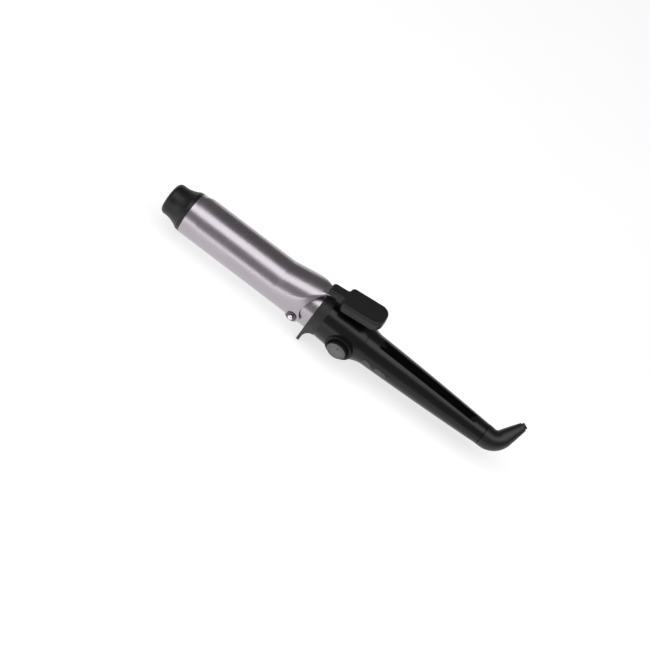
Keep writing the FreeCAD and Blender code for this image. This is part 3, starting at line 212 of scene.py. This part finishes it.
def moulded(colour, grain, depth, rough_low, rough_high, wear=1.35):
    """Moulded plastic: spark-eroded grain, slow waviness, and slightly polished patches."""
    def detail(tree):
        pits = noise(tree, grain, 3.0, roughness=0.6)
        waviness = noise(tree, 9 * MM, 1.0)
        rubbed = noise(tree, 22 * MM, 4.0, roughness=0.65)
        return {"Base_Color": shades(tree, rubbed, colour, (0.3, 0.8), (0.75, wear)),
                "Roughness": between(tree, rubbed, rough_high, rough_low, 0.3, 0.7),
                "Normal": bump(tree, pits, depth, bump(tree, waviness, 0.02 * MM))}
    return detail


def gloss_inlay(colour):
    """Polished inlay: almost a mirror, with faint wiping marks."""
    def detail(tree):
        wiped = noise(tree, 1.2 * MM, 3.0, (0.06, 1, 1))
        waviness = noise(tree, 16 * MM, 1.0)
        return {"Base_Color": shades(tree, wiped, colour, (0.4, 0.7), (0.8, 1.6)),
                "Roughness": between(tree, wiped, 0.07, 0.16, 0.4, 0.9),
                "Normal": bump(tree, waviness, 0.01 * MM)}
    return detail


def brushed_metal(colour, stretch, rough_low=0.22, rough_high=0.42):
    """Bare metal with fine lines along its length, and a dulled film."""
    def detail(tree):
        lines = noise(tree, 0.3 * MM, 4.0, stretch)
        film = noise(tree, 6 * MM, 3.0)
        return {"Base_Color": shades(tree, film, colour, (0.3, 0.82), (0.7, 1.06)),
                "Roughness": between(tree, lines, rough_low, rough_high, 0.35, 0.65),
                "Normal": bump(tree, lines, 0.006 * MM)}
    return detail


def polished_metal(colour):
    """Polished metal with hairline scratches."""
    def detail(tree):
        scratches = noise(tree, 0.15 * MM, 3.0, (1, 0.2, 1))
        return {"Base_Color": shades(tree, scratches, colour, (0.3, 0.94), (0.7, 1.0)),
                "Roughness": between(tree, scratches, 0.06, 0.14, 0.35, 0.7),
                "Normal": bump(tree, scratches, 0.001 * MM)}
    return detail


def spotted(colour, other, size, rough_low, rough_high, depth=0.01 * MM):
    """A mixed body, such as fired ceramic or phenolic: spots of a second colour."""
    def detail(tree):
        spots = noise(tree, size, 5.0, roughness=0.7)
        return {"Base_Color": ramp(tree, spots, (0.42, colour), (0.62, other)),
                "Roughness": between(tree, spots, rough_low, rough_high, 0.3, 0.7),
                "Normal": bump(tree, spots, depth)}
    return detail


def woven_sleeve(colour):
    """Braided sleeve: two sets of crossing yarns."""
    def detail(tree):
        over = waves(tree, 0.6 * MM, "DIAGONAL")
        under = waves(tree, 0.5 * MM)
        yarns = arithmetic(tree, "MAXIMUM", over, under)
        return {"Base_Color": shades(tree, yarns, colour, (0.1, 0.6), (0.8, 1.0)),
                "Roughness": between(tree, yarns, 0.9, 0.6),
                "Normal": bump(tree, yarns, 0.08 * MM)}
    return detail


def circuit_mask(colour):
    """Solder mask: raised copper tracks under green lacquer."""
    def detail(tree):
        tracks = add_node(tree, "TexBrick", "Fac", Vector=object_point(tree), Scale=1.0,
                          Brick_Width=6 * MM, Row_Height=2.2 * MM, Mortar_Size=0.35 * MM,
                          Mortar_Smooth=0.3)
        return {"Base_Color": shades(tree, tracks, colour, (0.2, 0.7), (0.9, 1.7)),
                "Roughness": between(tree, noise(tree, 3 * MM), 0.25, 0.4),
                "Normal": bump(tree, tracks, 0.05 * MM)}
    return detail


def spun_metal(colour):
    """Satin plated disc that faces the dial side: rings from spinning, and a cloudy film."""
    def detail(tree):
        middle, _ = middle_and_size("dial_cap")
        point = add_node(tree, "TexCoord", "Object")
        offset = add_node(tree, "Mapping", Vector=point, Location=-middle)
        rings = add_node(tree, "TexWave", "Fac", {"wave_type": "RINGS", "rings_direction": "Y"},
                         Vector=offset, Scale=wave_scale(0.3 * MM), Distortion=0.4)
        film = noise(tree, 3 * MM, 3.0)
        return {"Base_Color": shades(tree, film, colour, (0.3, 0.88), (0.7, 1.12)),
                "Roughness": between(tree, rings, 0.34, 0.46),
                "Normal": bump(tree, rings, 0.003 * MM)}
    return detail


def turned_metal(colour):
    """Turned metal: tool rings, and a thin tarnish."""
    def detail(tree):
        rings = waves(tree, 0.25 * MM, distortion=0.2)
        tarnish = noise(tree, 4 * MM, 3.0)
        return {"Base_Color": shades(tree, tarnish, colour, (0.35, 0.7), (0.7, 1.0)),
                "Roughness": between(tree, rings, 0.2, 0.36),
                "Normal": bump(tree, rings, 0.006 * MM)}
    return detail


LILAC = (0.418, 0.384, 0.418)
FINE_GRAIN = 0.35 * MM
GRAIN_DEPTH = 0.012 * MM
LENGTHWISE = (0.03, 1, 1)
BARE_METAL = {"Metallic": 1.0}

# Each slot's detail, and the uniform values of its shader.
LOOKS = {
    "lilac_metal": (coated_metal(LILAC), BARE_METAL),
    "tip_plastic": (moulded((0.006, 0.006, 0.0062), FINE_GRAIN, GRAIN_DEPTH, 0.34, 0.44),
                    {"Specular_IOR_Level": 0.33}),
    "handle_plastic": (moulded((0.0035, 0.0036, 0.0036), FINE_GRAIN, GRAIN_DEPTH * 0.6,
                               0.22, 0.3), {"Specular_IOR_Level": 0.36}),
    "collar_plastic": (moulded((0.014, 0.0115, 0.0125), 0.5 * MM, 0.02 * MM, 0.46, 0.58),
                       {"Specular_IOR_Level": 0.45}),
    "grip_plastic": (moulded((0.0075, 0.0075, 0.0075), 0.4 * MM, 0.015 * MM, 0.42, 0.52),
                     {"Specular_IOR_Level": 0.4}),
    "boot_plastic": (moulded((0.0045, 0.0046, 0.0048), 0.45 * MM, 0.015 * MM, 0.34, 0.44),
                     {"Specular_IOR_Level": 0.45}),
    "gloss_strip": (gloss_inlay((0.0006, 0.0006, 0.0007)), {"Specular_IOR_Level": 0.12}),
    "knob_plastic": (moulded((0.003, 0.0031, 0.0029), FINE_GRAIN, GRAIN_DEPTH, 0.4, 0.5),
                     {"Specular_IOR_Level": 0.2}),
    "silver_cap": (spun_metal((0.14, 0.142, 0.14)), {"Metallic": 0.6}),
    "button_plastic": (moulded((0.045, 0.045, 0.045), FINE_GRAIN, GRAIN_DEPTH, 0.34, 0.42), {}),
    "chrome_rivet": (polished_metal((0.86, 0.85, 0.87)), BARE_METAL),
    "dark_bushing": (brushed_metal((0.12, 0.11, 0.125), (1, 0.2, 1)), BARE_METAL),
    "raw_aluminium": (brushed_metal((0.7, 0.7, 0.71), LENGTHWISE), BARE_METAL),
    "zinc_steel": (brushed_metal((0.62, 0.62, 0.6), (1, 1, 0.2)), BARE_METAL),
    "spring_steel": (brushed_metal((0.45, 0.45, 0.46), LENGTHWISE, 0.2, 0.34), BARE_METAL),
    "black_screw": (brushed_metal((0.045, 0.045, 0.045), (1, 1, 1)), {"Metallic": 0.8}),
    "grey_ceramic": (spotted((0.2, 0.2, 0.21), (0.32, 0.32, 0.33), 0.6 * MM, 0.6, 0.8), {}),
    "amber_film": (spotted((0.55, 0.27, 0.04), (0.7, 0.4, 0.08), 2 * MM, 0.15, 0.3, 0.02 * MM),
                   {"Coat_Weight": 0.4}),
    "glass_bead": (spotted((0.3, 0.15, 0.08), (0.42, 0.25, 0.16), 0.8 * MM, 0.08, 0.2),
                   {"Coat_Weight": 0.8}),
    "white_sleeve": (woven_sleeve((0.8, 0.79, 0.76)), {"Sheen_Weight": 0.3}),
    "brown_insulator": (spotted((0.14, 0.07, 0.035), (0.26, 0.15, 0.09), 0.5 * MM, 0.45, 0.65),
                        {}),
    "component_black": (moulded((0.02, 0.02, 0.022), 0.3 * MM, GRAIN_DEPTH, 0.45, 0.6), {}),
    "brass_metal": (turned_metal((0.78, 0.6, 0.3)), BARE_METAL),
    "green_board": (circuit_mask((0.02, 0.16, 0.07)), {"Coat_Weight": 0.5}),
    "yellow_case": (moulded((0.72, 0.5, 0.1), FINE_GRAIN, GRAIN_DEPTH, 0.4, 0.5, 1.1), {}),
}
FINISHES = {name: finish_of(name, detail, **uniform)
            for name, (detail, uniform) in LOOKS.items()}


def finish_cad_nodes():
    for name, item in frame["nodes"].items():
        for slot in item.material_slots:
            slot.material = FINISHES[SLOT_OF[name]]


# ---- Pieces in finer detail ------------------------------------------------------------------

WELD_DISTANCE = 1e-7
SAME_PLACE = 1e-6
SHARP_ANGLE = math.radians(32)
HUB = 0.2 * MM


def add_piece(name, body, slot, shape, stands_for=()):
    """Finish a bmesh as a named piece that moves with a body and may stand for CAD nodes."""
    mesh = bpy.data.meshes.new(name)
    bmesh.ops.remove_doubles(shape, verts=shape.verts, dist=WELD_DISTANCE)
    bmesh.ops.recalc_face_normals(shape, faces=shape.faces)
    shape.to_mesh(mesh)
    shape.free()
    mesh.shade_smooth()
    mesh.set_sharp_from_angle(angle=SHARP_ANGLE)
    mesh.materials.append(FINISHES[slot])
    piece = bpy.data.objects.new(name, mesh)
    bpy.context.scene.collection.objects.link(piece)
    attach(piece, body)
    if stands_for:
        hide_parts(*stands_for)
    return piece


def across(axis):
    """Two directions square to an axis and to each other."""
    first = axis.orthogonal().normalized()
    return first, axis.cross(first)


def ring(shape, centre, axis, radius, count, lobes=0, depth=0.0):
    """A ring of points round an axis, with scallops `depth` deep between its lobes."""
    first, second = across(axis)
    points = []
    for index in range(count):
        angle = 2 * math.pi * index / count
        reach = radius - depth * (1 - abs(math.cos(lobes * angle / 2)))
        points.append(shape.verts.new(centre + reach * (math.cos(angle) * first
                                                        + math.sin(angle) * second)))
    return points


def join_rings(shape, low, high):
    for index in range(len(low)):
        after = (index + 1) % len(low)
        shape.faces.new((low[index], low[after], high[after], high[index]))


def join_stack(shape, rings):
    for low, high in zip(rings, rings[1:]):
        join_rings(shape, low, high)


def turn(shape, centre, axis, profile, count=64, lobes=0):
    """A turned solid: the profile's rows are (height along the axis, radius, scallop depth)."""
    rings = [ring(shape, centre + axis * height, axis, radius, count, lobes, depth)
             for height, radius, depth in profile]
    join_stack(shape, rings)
    shape.faces.new(rings[0])
    shape.faces.new(rings[-1])


def solids_of(node):
    """The points of each separate solid of a CAD node."""
    shape = bmesh.new()
    shape.from_mesh(frame["nodes"][node].data)
    bmesh.ops.remove_doubles(shape, verts=shape.verts, dist=SAME_PLACE)
    left = set(shape.verts)
    groups = []
    for vertex in shape.verts:
        if vertex not in left:
            continue
        left.discard(vertex)
        reached = [vertex]
        for item in reached:
            for edge in item.link_edges:
                other = edge.other_vert(item)
                if other in left:
                    left.discard(other)
                    reached.append(other)
        groups.append([item.co.copy() for item in reached])
    shape.free()
    return groups


def end_of(points, axis):
    """The middle of a solid's end face, its radius, and the solid's length along the axis."""
    heights = [point.dot(axis) for point in points]
    top = max(heights)
    rim = [point for point, height in zip(points, heights) if height > top - SAME_PLACE]
    middle = sum(rim, Vector()) / len(rim)
    middle += axis * (top - middle.dot(axis))
    radius = max((point - middle - axis * axis.dot(point - middle)).length for point in points)
    return middle, radius, top - min(heights)


def cross_recess(shape, centre, axis, rim, arm, width, depth):
    """The face of a screw's head inside its rim, with a tapered cross sunk into it."""
    floor_size = 0.6
    first, second = across(axis)
    corners = []
    for quarter in range(4):
        angle = math.pi / 2 * quarter
        out = math.cos(angle) * first + math.sin(angle) * second
        side = -math.sin(angle) * first + math.cos(angle) * second
        corners += [(out * arm - side * width), (out * arm + side * width),
                    (out * width + side * width)]
    mouth = [shape.verts.new(centre + corner) for corner in corners]
    floor = [shape.verts.new(centre + corner * floor_size - axis * depth) for corner in corners]
    join_rings(shape, mouth, floor)
    shape.faces.new(floor)
    edges = [shape.edges.get(pair) or shape.edges.new(pair)
             for loop in (rim, mouth) for pair in zip(loop, loop[1:] + loop[:1])]
    bmesh.ops.triangle_fill(shape, edges=edges, use_beauty=True)


def make_screws(name, body, slot, node, axis, head_height, shank_radius):
    """Pan-head screws with cross recesses, in place of a node's plain ones."""
    pan = ((0.0, 0.72), (-0.3, 0.93), (-0.55, 1.0), (-1.0, 1.0))  # in head heights and radii
    point_length, point_radius = 0.6 * shank_radius, 0.35 * shank_radius
    axis = Vector(axis).normalized()
    shape = bmesh.new()
    for points in solids_of(node):
        top, radius, length = end_of(points, axis)
        head = [(height * head_height, reach * radius) for height, reach in pan]
        shank = [(-head_height, shank_radius), (-length + point_length, shank_radius),
                 (-length, point_radius)]
        rings = [ring(shape, top + axis * height, axis, reach, 32)
                 for height, reach in head + shank]
        join_stack(shape, rings)
        shape.faces.new(rings[-1])
        crown = head[0][1]
        cross_recess(shape, top, axis, rings[0], arm=0.8 * crown, width=0.2 * crown,
                     depth=0.6 * head_height)
    add_piece(name, body, slot, shape, [node])


def make_rivets():
    """Clip pivots with domed, polished heads and a clinched end."""
    clinch, chamfer = 1.0 * MM, 0.2 * MM
    shape = bmesh.new()
    for points in solids_of("pivot_rivets"):
        outward = Vector((0, math.copysign(1, sum(point.y for point in points)), 0))
        top, radius, length = end_of(points, outward)
        shank, head_height = 0.76 * radius, 1.13 * radius
        dome_drop, edge_drop = 0.3 * radius, 0.25 * radius
        dome = [(-dome_drop * (reach / radius) ** 2 - edge_drop * (reach / radius) ** 6, reach)
                for reach in (radius * step / 8 for step in range(1, 9))]
        rest = [(-1.05 * radius, radius), (-head_height, 0.94 * radius), (-head_height, shank),
                (-length + clinch, shank), (-length + clinch - chamfer, radius),
                (-length + chamfer, radius), (-length, 0.8 * radius)]
        turn(shape, top, outward, [(height, reach, 0) for height, reach in dome + rest])
    add_piece("pivot_rivet_heads", "handle", "chrome_rivet", shape, ["pivot_rivets"])


# The dial's cap has a face that lies a little below its beaded rim, and carries the marks.
CAP_FACE_SINK = 0.08 * MM


def dial_blank(node):
    """The middle of a dial part's back face, its radius, and its depth."""
    middle, size = middle_and_size(node)
    return middle - DIAL_SIDE * size.y / 2, size.x / 2, size.y


def make_dial_grip():
    """The dial's knob: a cup with 44 knurls round it."""
    back, radius, depth = dial_blank("dial_knob")
    wall, groove = 2.0 * MM, 0.28 * MM
    hollow = depth - 3.5 * MM
    inside = [(hollow, HUB, 0), (hollow, radius - wall, 0), (0, radius - wall, 0)]
    skirt = [(0, radius - 0.2 * MM, groove), (0.3 * MM, radius, groove),
             (depth - 0.8 * MM, radius, groove)]
    shoulder = [(depth - 0.3 * MM, radius - 0.2 * MM, groove * 0.6),
                (depth, radius - 0.6 * MM, 0), (depth, HUB, 0)]
    shape = bmesh.new()
    turn(shape, back, DIAL_SIDE, inside + skirt + shoulder, count=352, lobes=44)
    add_piece("dial_grip", "dial", "knob_plastic", shape, ["dial_knob"])


def make_dial_face():
    """The dial's plated cap: a rim of 28 beads, a moat, and a slightly dished face."""
    back, radius, depth = dial_blank("dial_cap")
    bead, moat_depth = 0.3 * MM, 0.22 * MM
    face = depth - CAP_FACE_SINK
    rim = [(0, HUB, 0), (0, radius, bead), (depth * 0.35, radius, bead),
           (depth * 0.8, radius - 0.25 * MM, 0.25 * MM), (depth, radius - 0.7 * MM, 0.1 * MM),
           (depth, radius - 1.15 * MM, 0)]
    moat = [(face - moat_depth, radius - 1.35 * MM, 0), (face - moat_depth, radius - 1.6 * MM, 0)]
    disc = [(face, radius - 1.8 * MM, 0), (face - 0.02 * MM, radius * 0.4, 0),
            (face - 0.03 * MM, HUB, 0)]
    shape = bmesh.new()
    turn(shape, back, DIAL_SIDE, rim + moat + disc, count=336, lobes=28)
    add_piece("dial_face", "dial", "silver_cap", shape, ["dial_cap"])


def make_dial_marks():
    """A pointer on the dial's face, and a scale of eight ticks, 30 degrees apart."""
    back, _, depth = dial_blank("dial_cap")
    plane = back + DIAL_SIDE * (depth - CAP_FACE_SINK - 0.05 * MM)
    thickness = 0.11 * MM
    shape = bmesh.new()
    add_bar(shape, plane, DIAL_SIDE, UP, 2.6 * MM, 5.6 * MM, 0.42 * MM, thickness)
    for step in range(-4, 5):
        if step:
            angle = math.radians(30 * step)
            ray = Vector((math.sin(angle), 0, math.cos(angle)))
            add_bar(shape, plane, DIAL_SIDE, ray, 5.3 * MM, 6.2 * MM, 0.18 * MM, thickness)
    add_piece("dial_marks", "dial", "knob_plastic", shape)


def add_bar(shape, origin, up, ray, start, end, half_width, thickness):
    """A raised bar with round ends and a crowned top, from start to end along a ray."""
    shoulder, crown_rise, crown_inset = 0.7, 0.28, 0.06
    side = up.cross(ray)
    outline = []
    for centre, turned_by in ((end - half_width, 0), (start + half_width, math.pi)):
        for step in range(9):
            angle = turned_by - math.pi / 2 + math.pi * step / 8
            outline.append(ray * (centre + half_width * math.cos(angle))
                           + side * (half_width * math.sin(angle)))
    low = [shape.verts.new(origin + point) for point in outline]
    high = [shape.verts.new(origin + point + up * thickness * shoulder) for point in outline]
    middle = origin + ray * (start + end) / 2 + up * thickness
    crown = [shape.verts.new(vertex.co.lerp(middle, crown_inset) + up * thickness * crown_rise)
             for vertex in high]
    join_stack(shape, (low, high, crown))
    shape.faces.new(low)
    shape.faces.new(crown)


def add_ring(shape, centre, axis, radius, half_width, height):
    """A raised ring with a rounded top."""
    rows = [(0, radius - half_width), (height * 0.7, radius - half_width),
            (height, radius - half_width * 0.5), (height, radius + half_width * 0.5),
            (height * 0.7, radius + half_width), (0, radius + half_width)]
    rings = [ring(shape, centre + axis * rise, axis, reach, 48) for rise, reach in rows]
    join_stack(shape, rings + rings[:1])


def make_button_marks():
    """Moulded signs on the two push buttons: a bar for on and a ring for off."""
    reach, half_width, height, sunk = 1.3 * MM, 0.22 * MM, 0.16 * MM, 0.02 * MM
    for node, body in (("on_button", "on_press"), ("off_button", "off_press")):
        middle, size = middle_and_size(node)
        face = middle + DIAL_SIDE * (size.y / 2 - sunk)
        shape = bmesh.new()
        if body == "on_press":
            add_bar(shape, face, DIAL_SIDE, UP, -reach, reach, half_width, height)
        else:
            add_ring(shape, face, DIAL_SIDE, reach, half_width, height)
        add_piece(node.replace("button", "sign"), body, "silver_cap", shape)


def heading(angle):
    """The direction at an angle from +X towards +Z."""
    return Vector((math.cos(angle), 0, math.sin(angle)))


def spring_path(low, high, thickness):
    """The spring's middle line in its box: a flat foot, a bend, a rising leg and a curled tip."""
    bend_radius, curl_radius = 0.6 * MM, 1.2 * MM
    tip_gap, leg_gap = 1.0 * MM, 2.2 * MM
    outer = bend_radius + thickness / 2
    bend = Vector((low.x + outer, 0, low.z + outer))
    slope = math.atan2(high.z - thickness - bend.z - outer, high.x - tip_gap - bend.x)
    path = [Vector((high.x - step * (high.x - bend.x) / 10, 0, low.z + thickness / 2))
            for step in range(10)]
    path += [bend + bend_radius * heading(-math.pi / 2 - (math.pi + slope) * step / 12)
             for step in range(13)]
    start, lift = path[-1], heading(slope)
    leg = (high.x - leg_gap - start.x) / lift.x
    path += [start + lift * leg * step / 14 for step in range(1, 15)]
    curl = path[-1] - curl_radius * Vector((-lift.z, 0, lift.x))
    path += [curl + curl_radius * heading(slope + math.pi / 2 - math.radians(14) * step)
             for step in range(1, 7)]
    return path


def make_clip_spring():
    """The leaf spring under the ramp: a blade that tapers towards its curled tip."""
    low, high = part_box("clip_spring")
    half_width, thickness, taper = (high.y - low.y) / 2, 0.5 * MM, 0.28
    path = spring_path(low, high, thickness)
    last = len(path) - 1
    shape = bmesh.new()
    rows = []
    for index, point in enumerate(path):
        before, after = path[max(index - 1, 0)], path[min(index + 1, last)]
        along = (after - before).normalized()
        normal = Vector((-along.z, 0, along.x)) * thickness / 2
        reach = half_width * (1 - taper * (index / last))
        rows.append([shape.verts.new(point + normal * side + Vector((0, y, 0)))
                     for side, y in ((1, -reach), (1, reach), (-1, reach), (-1, -reach))])
    join_stack(shape, rows)
    shape.faces.new(rows[0])
    shape.faces.new(rows[-1])
    piece = add_piece("clip_leaf", "handle", "spring_steel", shape, ["clip_spring"])
    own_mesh(piece)


# The grip's screws point out of the lever's underside, square to its slope.
LEVER_SLOPE = math.radians(9)
LEVER_DOWN = (math.sin(LEVER_SLOPE), 0, -math.cos(LEVER_SLOPE))


def make_detail():
    make_screws("handle_screw_heads", "handle", "black_screw", "handle_screws",
                axis=(0, 1, 0), head_height=1.7 * MM, shank_radius=1.1 * MM)
    make_screws("grip_screw_heads", "clip", "zinc_steel", "thumb_grip_screws",
                axis=LEVER_DOWN, head_height=1.4 * MM, shank_radius=1.15 * MM)
    make_screws("tip_screw_head", "handle", "zinc_steel", "tip_screw",
                axis=(-1, 0, 0), head_height=2.2 * MM, shank_radius=1.5 * MM)
    make_rivets()
    make_dial_grip()
    make_dial_face()
    make_dial_marks()
    make_button_marks()
    make_clip_spring()


# ---- Stage -----------------------------------------------------------------------------------


def camera_axes():
    """The picture's right and up, and the direction from the object to the camera."""
    back = Vector((0, -math.cos(CAMERA_ELEVATION), math.sin(CAMERA_ELEVATION)))
    along, upright = Vector((1, 0, 0)), Vector((0, back.z, -back.y))
    level, rise = math.cos(CAMERA_ROLL), math.sin(CAMERA_ROLL)
    return level * along + rise * upright, level * upright - rise * along, back


def looking(right, up, back, place):
    """The placement of a camera or lamp that looks along -back."""
    return Matrix.Translation(place) @ Matrix((right, up, back)).transposed().to_4x4()


def make_camera():
    data = bpy.data.cameras.new("camera")
    data.sensor_width = 36.0
    data.angle = CAMERA_VIEW_ANGLE
    data.clip_start, data.clip_end = 0.01, 20.0
    camera = bpy.data.objects.new("camera", data)
    right, up, back = camera_axes()
    camera.matrix_world = looking(right, up, back, CAMERA_TARGET + CAMERA_DISTANCE * back)
    bpy.context.scene.collection.objects.link(camera)
    bpy.context.scene.camera = camera


def softbox(name, elevation, spread, distance, length, radiance, middle=0.0, swing=0.0):
    """A soft lamp beside the iron, parallel to it unless it is swung towards the tip.

    elevation is measured about the X axis from the dial side's horizon, and spread is the angle
    that the lamp fills about that axis, both in degrees. distance, length and middle, its offset
    along the iron, are in metres. swing turns it about the Z axis, in degrees.
    """
    angle = math.radians(elevation)
    about = Matrix.Rotation(-math.radians(swing), 3, "Z")
    back = about @ Vector((0, -math.cos(angle), math.sin(angle)))
    width = 2 * distance * math.tan(math.radians(spread / 2))
    data = bpy.data.lights.new(name, "AREA")
    data.shape = "RECTANGLE"
    data.size, data.size_y = length, width
    data.energy = radiance * math.pi * length * width
    lamp = bpy.data.objects.new(name, data)
    right = about @ Vector((1, 0, 0))
    lamp.matrix_world = looking(right, back.cross(right), back, back * distance + right * middle)
    lamp.visible_camera = False
    bpy.context.scene.collection.objects.link(lamp)


def make_world():
    """A dim room that is lighter on the dial side."""
    lighter, dimmer = 0.3, 0.16
    world = bpy.data.worlds.new("room")
    bpy.context.scene.world = world
    world.use_nodes = True
    tree = world.node_tree
    background = tree.nodes["Background"].inputs
    direction = add_node(tree, "TexCoord", "Generated")
    sideways = add_node(tree, "SeparateXYZ", "Y", Vector=direction)
    strength = between(tree, sideways, lighter, dimmer, -0.9, 0.1)
    tree.links.new(strength, background["Strength"])
    background["Color"].default_value = (1.0, 0.985, 1.0, 1)


def make_floor():
    """A large pale floor just below the iron's lowest point, with a faint mottle and glow."""
    half_side, gap, mottle_size = 6.0, 0.05 * MM, 0.2
    darker, lighter = (0.46, 0.46, 0.463), (0.48, 0.48, 0.48)
    low, _ = CAD_BOX
    mesh = bpy.data.meshes.new("floor")
    shape = bmesh.new()
    bmesh.ops.create_grid(shape, x_segments=1, y_segments=1, size=half_side,
                          matrix=Matrix.Translation((0, 0, low.z - gap)))
    shape.to_mesh(mesh)
    shape.free()
    floor = bpy.data.objects.new("floor", mesh)
    bpy.context.scene.collection.objects.link(floor)

    def detail(tree):
        mottle = noise(tree, mottle_size)
        return {"Base_Color": ramp(tree, mottle, (0.3, darker), (0.7, lighter))}
    mesh.materials.append(finish_of("floor", detail, Roughness=0.8, Specular_IOR_Level=0.1,
                                    Emission_Color=(1, 1, 1, 1), Emission_Strength=0.71))


def set_stage():
    make_camera()
    make_world()
    make_floor()
    softbox("overhead", elevation=81.0, spread=36.0, distance=1.2, length=3.0, radiance=1.92)
    softbox("front", elevation=8.0, spread=16.0, distance=0.4, length=0.5, radiance=1.6,
            middle=-0.24)
    softbox("side", elevation=16.0, spread=24.0, distance=1.0, length=0.35, radiance=1.5,
            swing=50.0)
    bpy.context.scene.view_settings.view_transform = "Standard"


finish_cad_nodes()
make_detail()
set_stage()
